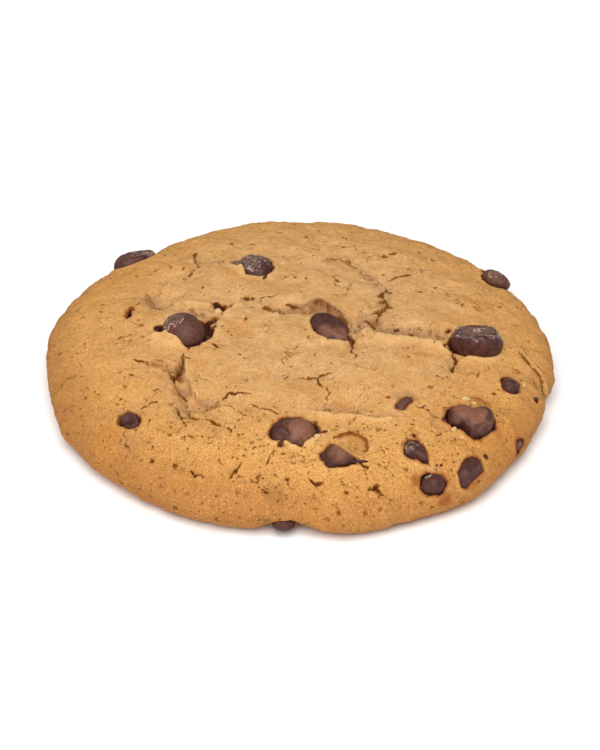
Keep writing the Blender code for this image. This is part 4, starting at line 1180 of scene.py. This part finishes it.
WARP = (0.0015, 0.0015, 0.0015)
warped = add_node(baked, "VectorMath", {"operation": "MULTIPLY_ADD", 1: WARP}, {0: speck.outputs["Color"], 2: place})
frayed = add_node(baked, "Math", {"operation": "MULTIPLY_ADD", 1: 0.9, 2: -0.45}, {0: grain.outputs["Fac"]})
clearing = add_node(baked, "TexNoise", {"Scale": PER_MM / CLEARING, "Detail": 2.0}, {"Vector": warped.outputs[0]})
shut = add_node(baked, "MapRange", {"To Min": 1.65, "To Max": 1.02}, {"Value": felt["open_crumb"]})
uneven = add_node(baked, "Math", {"operation": "MULTIPLY_ADD", 1: -1.1}, {0: clearing.outputs["Fac"], 2: shut.outputs["Result"]})
closed = add_node(baked, "Math", {"operation": "MINIMUM", 1: 0.97}, {0: uneven.outputs[0]})


def add_pits(spacing, widest):
    """How deep each place lies inside a pit of a cell pattern, 0 outside."""
    cells = add_node(baked, "TexVoronoi", {"Scale": PER_MM / spacing}, {"Vector": warped.outputs[0]})
    chance = add_node(baked, "SeparateColor", feeds={0: cells.outputs["Color"]})
    width = add_node(baked, "MapRange", {"From Max": 1.0, "To Min": -0.05, "To Max": widest},
                     {"Value": chance.outputs[0], "From Min": closed.outputs[0]})
    inner = add_node(baked, "Math", {"operation": "SUBTRACT"},
                     {0: width.outputs["Result"], 1: cells.outputs["Distance"]})
    return add_node(baked, "Math", {"operation": "ADD"}, {0: inner.outputs[0], 1: frayed.outputs[0]}).outputs[0]


pits = add_node(baked, "Math", {"operation": "MAXIMUM"}, {0: add_pits(PIT, 0.36), 1: add_pits(PINHOLE, 0.36)})
pinhole = add_node(baked, "MapRange", {"From Min": 0.0, "From Max": 0.1}, {"Value": pits.outputs[0]})
pinhole_core = add_node(baked, "MapRange", {"From Min": 0.1, "From Max": 0.25}, {"Value": pits.outputs[0]})

wander = add_node(baked, "TexNoise", {"Scale": PER_MM / HAIR, "Detail": 4.0, "Roughness": 0.6}, {"Vector": place})
off_line = add_node(baked, "Math", {"operation": "SUBTRACT", 1: 0.5}, {0: wander.outputs["Fac"]})
off_line = add_node(baked, "Math", {"operation": "ABSOLUTE"}, {0: off_line.outputs[0]})
on_line = add_node(baked, "MapRange", {"From Min": 0.002, "From Max": 0.014, "To Min": 1.0, "To Max": 0.0},
                   {"Value": off_line.outputs[0]})
allowed = add_node(baked, "MapRange", {"From Min": 0.6, "From Max": 0.72}, {"Value": clearing.outputs["Fac"]})
hair = add_node(baked, "Math", {"operation": "MULTIPLY"},
                {0: on_line.outputs["Result"], 1: allowed.outputs["Result"]})
fine = add_node(baked, "Math", {"operation": "MAXIMUM"}, {0: hair.outputs[0], 1: pinhole.outputs["Result"]})
fine_shade = add_node(baked, "Math", {"operation": "MULTIPLY", 1: 0.55}, {0: fine.outputs[0]})
core_shade = add_node(baked, "Math", {"operation": "MULTIPLY", 1: 0.65}, {0: pinhole_core.outputs["Result"]})
# pinholes and hair cracks are painted shade: brown, with a near-black core in the larger pits
pricked = add_node(baked, "Mix", {"data_type": "RGBA", MIX_B: tint("#9C6622")},
                   {MIX_FACTOR: fine_shade.outputs[0], MIX_A: hollow_shaded.outputs[MIX_OUT]})
cored = add_node(baked, "Mix", {"data_type": "RGBA", MIX_B: tint("#5E3409")},
                 {MIX_FACTOR: core_shade.outputs[0], MIX_A: pricked.outputs[MIX_OUT]})
browned = add_node(baked, "Mix", {"data_type": "RGBA", MIX_B: tint("#975A18")},
                   {MIX_FACTOR: brown_in.outputs[0], MIX_A: cored.outputs[MIX_OUT]})
blackened = add_node(baked, "Mix", {"data_type": "RGBA", MIX_B: tint("#482004")},
                     {MIX_FACTOR: black_in.outputs[0], MIX_A: browned.outputs[MIX_OUT]})

# %% [markdown]
# Melted chocolate that crept into the dough leaves a rust-brown fringe and, closer to the chip, a dark red one.
# The same colours paint the shade in the dark hollows and trench beside the left chip.

# %% Oven-browned dough: chocolate stains and painted shade
stain_tooth = add_node(baked, "Math", {"operation": "MULTIPLY_ADD", 1: 0.7, 2: -0.35}, {0: grain.outputs["Fac"]})
stained = add_node(baked, "MapRange", {"From Min": 0.0, "From Max": 0.25}, {"Value": felt["cocoa_and_shade"]})
stain_edge = add_node(baked, "Math", {"operation": "MULTIPLY_ADD"},
                      {0: stain_tooth.outputs[0], 1: stained.outputs["Result"], 2: felt["cocoa_and_shade"]})
rust_in = add_node(baked, "MapRange", {"From Min": 0.1, "From Max": 0.55, "To Max": 0.8},
                   {"Value": stain_edge.outputs[0]})
dark_in = add_node(baked, "MapRange", {"interpolation_type": "SMOOTHSTEP", "From Min": 0.45, "From Max": 0.8},
                   {"Value": stain_edge.outputs[0]})
rusted = add_node(baked, "Mix", {"data_type": "RGBA", MIX_B: tint("#9E5622")},
                  {MIX_FACTOR: rust_in.outputs["Result"], MIX_A: blackened.outputs[MIX_OUT]})
marked = add_node(baked, "Mix", {"data_type": "RGBA", MIX_B: tint("#44201B")},
                  {MIX_FACTOR: dark_in.outputs["Result"], MIX_A: rusted.outputs[MIX_OUT]})
link(baked, marked.outputs[MIX_OUT], crust.inputs["Base Color"])

# %% Oven-browned dough: grain to the touch
GRAIN_HEIGHT = 0.00012    # metres
SPECK_HEIGHT = 0.00022
HOLE_DEPTH = 0.00018
sandy = add_node(baked, "Math", {"operation": "MULTIPLY", 1: GRAIN_HEIGHT}, {0: grain.outputs["Fac"]})
crumby = add_node(baked, "Math", {"operation": "MULTIPLY_ADD", 1: SPECK_HEIGHT},
                  {0: speck.outputs["Fac"], 2: sandy.outputs[0]})
dug = add_node(baked, "Math", {"operation": "MULTIPLY_ADD", 1: -HOLE_DEPTH},
               {0: fine.outputs[0], 2: crumby.outputs[0]})
cut_in = add_node(baked, "Math", {"operation": "MULTIPLY_ADD", 1: -HOLE_DEPTH},
                  {0: in_crack.outputs["Result"], 2: dug.outputs[0]})
rough_skin = add_node(baked, "Bump", {"Strength": 1.0, "Distance": 1.0}, {"Height": cut_in.outputs[0]})
link(baked, rough_skin.outputs["Normal"], crust.inputs["Normal"])
crust.inputs["Roughness"].default_value = 0.85
crust.inputs["IOR"].default_value = 1.45
crust.inputs["Specular IOR Level"].default_value = 0.1
dough.data.materials.clear()
dough.data.materials.append(baked)

# %% [markdown]
# ### Melted and set chocolate
# Chocolate that melted in the oven loses its snap and shine: the skin sets satin, and cocoa butter rises and
# dries as a grey bloom on the upper sides. Where the bloom ends it is scuffed into pale flecks.

# %% Bloomed dark chocolate
chocolate, satin = start_material("melted_and_set_dark_chocolate")
place = add_node(chocolate, "TexCoord").outputs["Object"]
milk_and_light_at = add_node(chocolate, "Attribute", {"attribute_name": "milk_and_light"}).outputs["Fac"]
bloom_at = add_node(chocolate, "Attribute", {"attribute_name": "bloom"}).outputs["Fac"]
STREAK = 1.2              # mm, clouds in the bloom
FLECK = 0.35              # mm, flecks of dried cocoa butter
SCRATCH = 1.2             # mm, the wandering of a pale scuff line
cloud = add_node(chocolate, "TexNoise", {"Scale": PER_MM / STREAK, "Detail": 4.0, "Roughness": 0.65},
                 {"Vector": place})
fleck = add_node(chocolate, "TexNoise", {"Scale": PER_MM / FLECK, "Detail": 3.0, "Roughness": 0.65},
                 {"Vector": place})
cloudy = add_node(chocolate, "MapRange", {"From Min": 0.32, "From Max": 0.66}, {"Value": cloud.outputs["Fac"]})
dark_body = add_node(chocolate, "Mix", {"data_type": "RGBA", MIX_A: tint("#3A1C18"), MIX_B: tint("#5C352D")},
                     {MIX_FACTOR: cloudy.outputs["Result"]})
# the warm brown of the upper sides is partly the chocolate's own tone and partly painted light
body = add_node(chocolate, "Mix", {"data_type": "RGBA", MIX_B: tint("#82543F")},
                {MIX_FACTOR: milk_and_light_at, MIX_A: dark_body.outputs[MIX_OUT]})
speckle = add_node(chocolate, "MapRange", {"From Min": 0.3, "From Max": 0.7, "To Min": 0.72, "To Max": 1.24},
                   {"Value": fleck.outputs["Fac"]})
textured = add_node(chocolate, "VectorMath", {"operation": "SCALE"},
                    {0: body.outputs[MIX_OUT], 3: speckle.outputs["Result"]})
fuzzy = add_node(chocolate, "Math", {"operation": "MULTIPLY_ADD", 1: 0.5, 2: -0.25}, {0: fleck.outputs["Fac"]})
ragged = add_node(chocolate, "Math", {"operation": "ADD"}, {0: bloom_at, 1: fuzzy.outputs[0]})
veil = add_node(chocolate, "MapRange", {"interpolation_type": "SMOOTHSTEP", "From Min": 0.35, "From Max": 1.0},
                {"Value": ragged.outputs[0]})
thin_veil = add_node(chocolate, "Math", {"operation": "MULTIPLY_ADD", 1: 0.4, 2: 0.1},
                     {0: cloudy.outputs["Result"]})
veil_share = add_node(chocolate, "Math", {"operation": "MULTIPLY"},
                      {0: veil.outputs["Result"], 1: thin_veil.outputs[0]})
veiled = add_node(chocolate, "Mix", {"data_type": "RGBA", MIX_B: tint("#8C766C")},
                  {MIX_FACTOR: veil_share.outputs[0], MIX_A: textured.outputs[0]})

# the pale rim of the bloom and a few scuffs inside it
off_rim = add_node(chocolate, "Math", {"operation": "SUBTRACT", 1: 0.42}, {0: ragged.outputs[0]})
off_rim = add_node(chocolate, "Math", {"operation": "ABSOLUTE"}, {0: off_rim.outputs[0]})
on_rim = add_node(chocolate, "MapRange", {"From Min": 0.04, "From Max": 0.14, "To Min": 1.0, "To Max": 0.0},
                  {"Value": off_rim.outputs[0]})
wander = add_node(chocolate, "TexNoise", {"Scale": PER_MM / SCRATCH, "Detail": 2.0}, {"Vector": place})
off_line = add_node(chocolate, "Math", {"operation": "SUBTRACT", 1: 0.5}, {0: wander.outputs["Fac"]})
off_line = add_node(chocolate, "Math", {"operation": "ABSOLUTE"}, {0: off_line.outputs[0]})
on_line = add_node(chocolate, "MapRange", {"From Min": 0.004, "From Max": 0.03, "To Min": 1.0, "To Max": 0.0},
                   {"Value": off_line.outputs[0]})
inside = add_node(chocolate, "Math", {"operation": "MULTIPLY"},
                  {0: on_line.outputs["Result"], 1: veil.outputs["Result"]})
pale_lines = add_node(chocolate, "Math", {"operation": "MAXIMUM"}, {0: on_rim.outputs["Result"], 1: inside.outputs[0]})
broken = add_node(chocolate, "MapRange", {"From Min": 0.42, "From Max": 0.54, "To Max": 0.9},
                  {"Value": cloud.outputs["Fac"]})
scuffs = add_node(chocolate, "Math", {"operation": "MULTIPLY"},
                  {0: pale_lines.outputs[0], 1: broken.outputs["Result"]})
scuffed = add_node(chocolate, "Mix", {"data_type": "RGBA", MIX_B: tint("#BBA492")},
                   {MIX_FACTOR: scuffs.outputs[0], MIX_A: veiled.outputs[MIX_OUT]})
link(chocolate, scuffed.outputs[MIX_OUT], satin.inputs["Base Color"])
dulled = add_node(chocolate, "MapRange", {"To Min": 0.5, "To Max": 0.8}, {"Value": veil.outputs["Result"]})
link(chocolate, dulled.outputs["Result"], satin.inputs["Roughness"])
SKIN_HEIGHT = 0.0002
FLECK_HEIGHT = 0.0001
flecky = add_node(chocolate, "Math", {"operation": "MULTIPLY", 1: FLECK_HEIGHT}, {0: fleck.outputs["Fac"]})
skin = add_node(chocolate, "Math", {"operation": "MULTIPLY_ADD", 1: SKIN_HEIGHT},
                {0: cloud.outputs["Fac"], 2: flecky.outputs[0]})
wavy = add_node(chocolate, "Bump", {"Strength": 1.0, "Distance": 1.0}, {"Height": skin.outputs[0]})
link(chocolate, wavy.outputs["Normal"], satin.inputs["Normal"])
satin.inputs["IOR"].default_value = 1.47
satin.inputs["Specular IOR Level"].default_value = 0.3
for piece in [*chips.values(), specks]:
    piece.data.materials.clear()
    piece.data.materials.append(chocolate)

# %% Dry crumbs
crumb, dry = start_material("dry_flour_crumb")
place = add_node(crumb, "TexCoord").outputs["Object"]
dust = add_node(crumb, "TexNoise", {"Scale": PER_MM / FLECK, "Detail": 3.0}, {"Vector": place})
floured = add_node(crumb, "Mix", {"data_type": "RGBA", MIX_A: tint("#C49A62"), MIX_B: tint("#E0C08C")},
                   {MIX_FACTOR: dust.outputs["Fac"]})
link(crumb, floured.outputs[MIX_OUT], dry.inputs["Base Color"])
dry.inputs["Roughness"].default_value = 0.9
crumbs.data.materials.clear()
crumbs.data.materials.append(crumb)

# %% [markdown]
# ## Into the frame
# The meshes are still in millimetres. Scaled to metres in the mesh itself, each piece sits at the origin like
# the imported nodes do and rides on the cookie's one body. The dough and each chip take the place of their
# imported solid, which is hidden.

# %% Scale the pieces and hang them on the cookie
for node, piece in [("dough", dough), *chips.items()]:
    move_points(piece, points_of(piece) * MM)
    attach(piece, "root")
    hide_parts(node)
for piece, finish in ((specks, "dark_chocolate"), (crumbs, "baked_dough")):
    move_points(piece, points_of(piece) * MM)
    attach(piece, "root")

# %% [markdown]
# ## Table, light and camera
# A plain white table under one broad soft light from above and in front, with a pale surround, shows colour and
# relief without any mood of its own.

# %% Table and lamps
bpy.ops.object.select_all(action="DESELECT")
bpy.ops.mesh.primitive_plane_add(size=4.0)
table_top = bpy.context.object
table_top.name = "table_top"
plain, paper = start_material("plain_white_card")
paper.inputs["Base Color"].default_value = tint("#FFFFFF")
paper.inputs["Roughness"].default_value = 0.9
table_top.data.materials.append(plain)

surround = bpy.data.worlds.new("pale_surround")
surround.use_nodes = True
surround.node_tree.nodes["Background"].inputs["Color"].default_value = tint("#FFFFFF")
surround.node_tree.nodes["Background"].inputs["Strength"].default_value = 0.34
bpy.context.scene.world = surround


def add_soft_lamp(name, azimuth, elevation, distance, size, power):
    """A square lamp that looks at the cookie; azimuth 0 is the front."""
    turn, rise = math.radians(azimuth), math.radians(elevation)
    where = Vector((math.sin(turn) * math.cos(rise), -math.cos(turn) * math.cos(rise), math.sin(rise)))
    bpy.ops.object.light_add(type="AREA", location=where * distance)
    lamp = bpy.context.object
    lamp.name = name
    lamp.data.size = size
    lamp.data.energy = power
    lamp.rotation_euler = where.to_track_quat("Z", "Y").to_euler()
    return lamp


add_soft_lamp("overhead_softbox", 0, 62, 1.6, 1.1, 23.5)
add_soft_lamp("front_left_softbox", -35, 35, 1.6, 0.9, 5.6)

# %% Camera
TARGET = (0.14 + SHIFT.x, -5.9 + SHIFT.y, 7.0)
CAMERA_RISE = 36.0        # degrees above the table
CAMERA_AWAY = 450.0
rise = math.radians(CAMERA_RISE)
seat = Vector(TARGET) + Vector((0.0, -math.cos(rise), math.sin(rise))) * CAMERA_AWAY
bpy.ops.object.camera_add(location=seat * MM, rotation=(math.radians(90.0 - CAMERA_RISE), 0.0, 0.0))
camera = bpy.context.object
camera.data.lens = 109.08
camera.data.sensor_width = 36.0
bpy.context.scene.camera = camera
bpy.context.scene.view_settings.view_transform = "Standard"
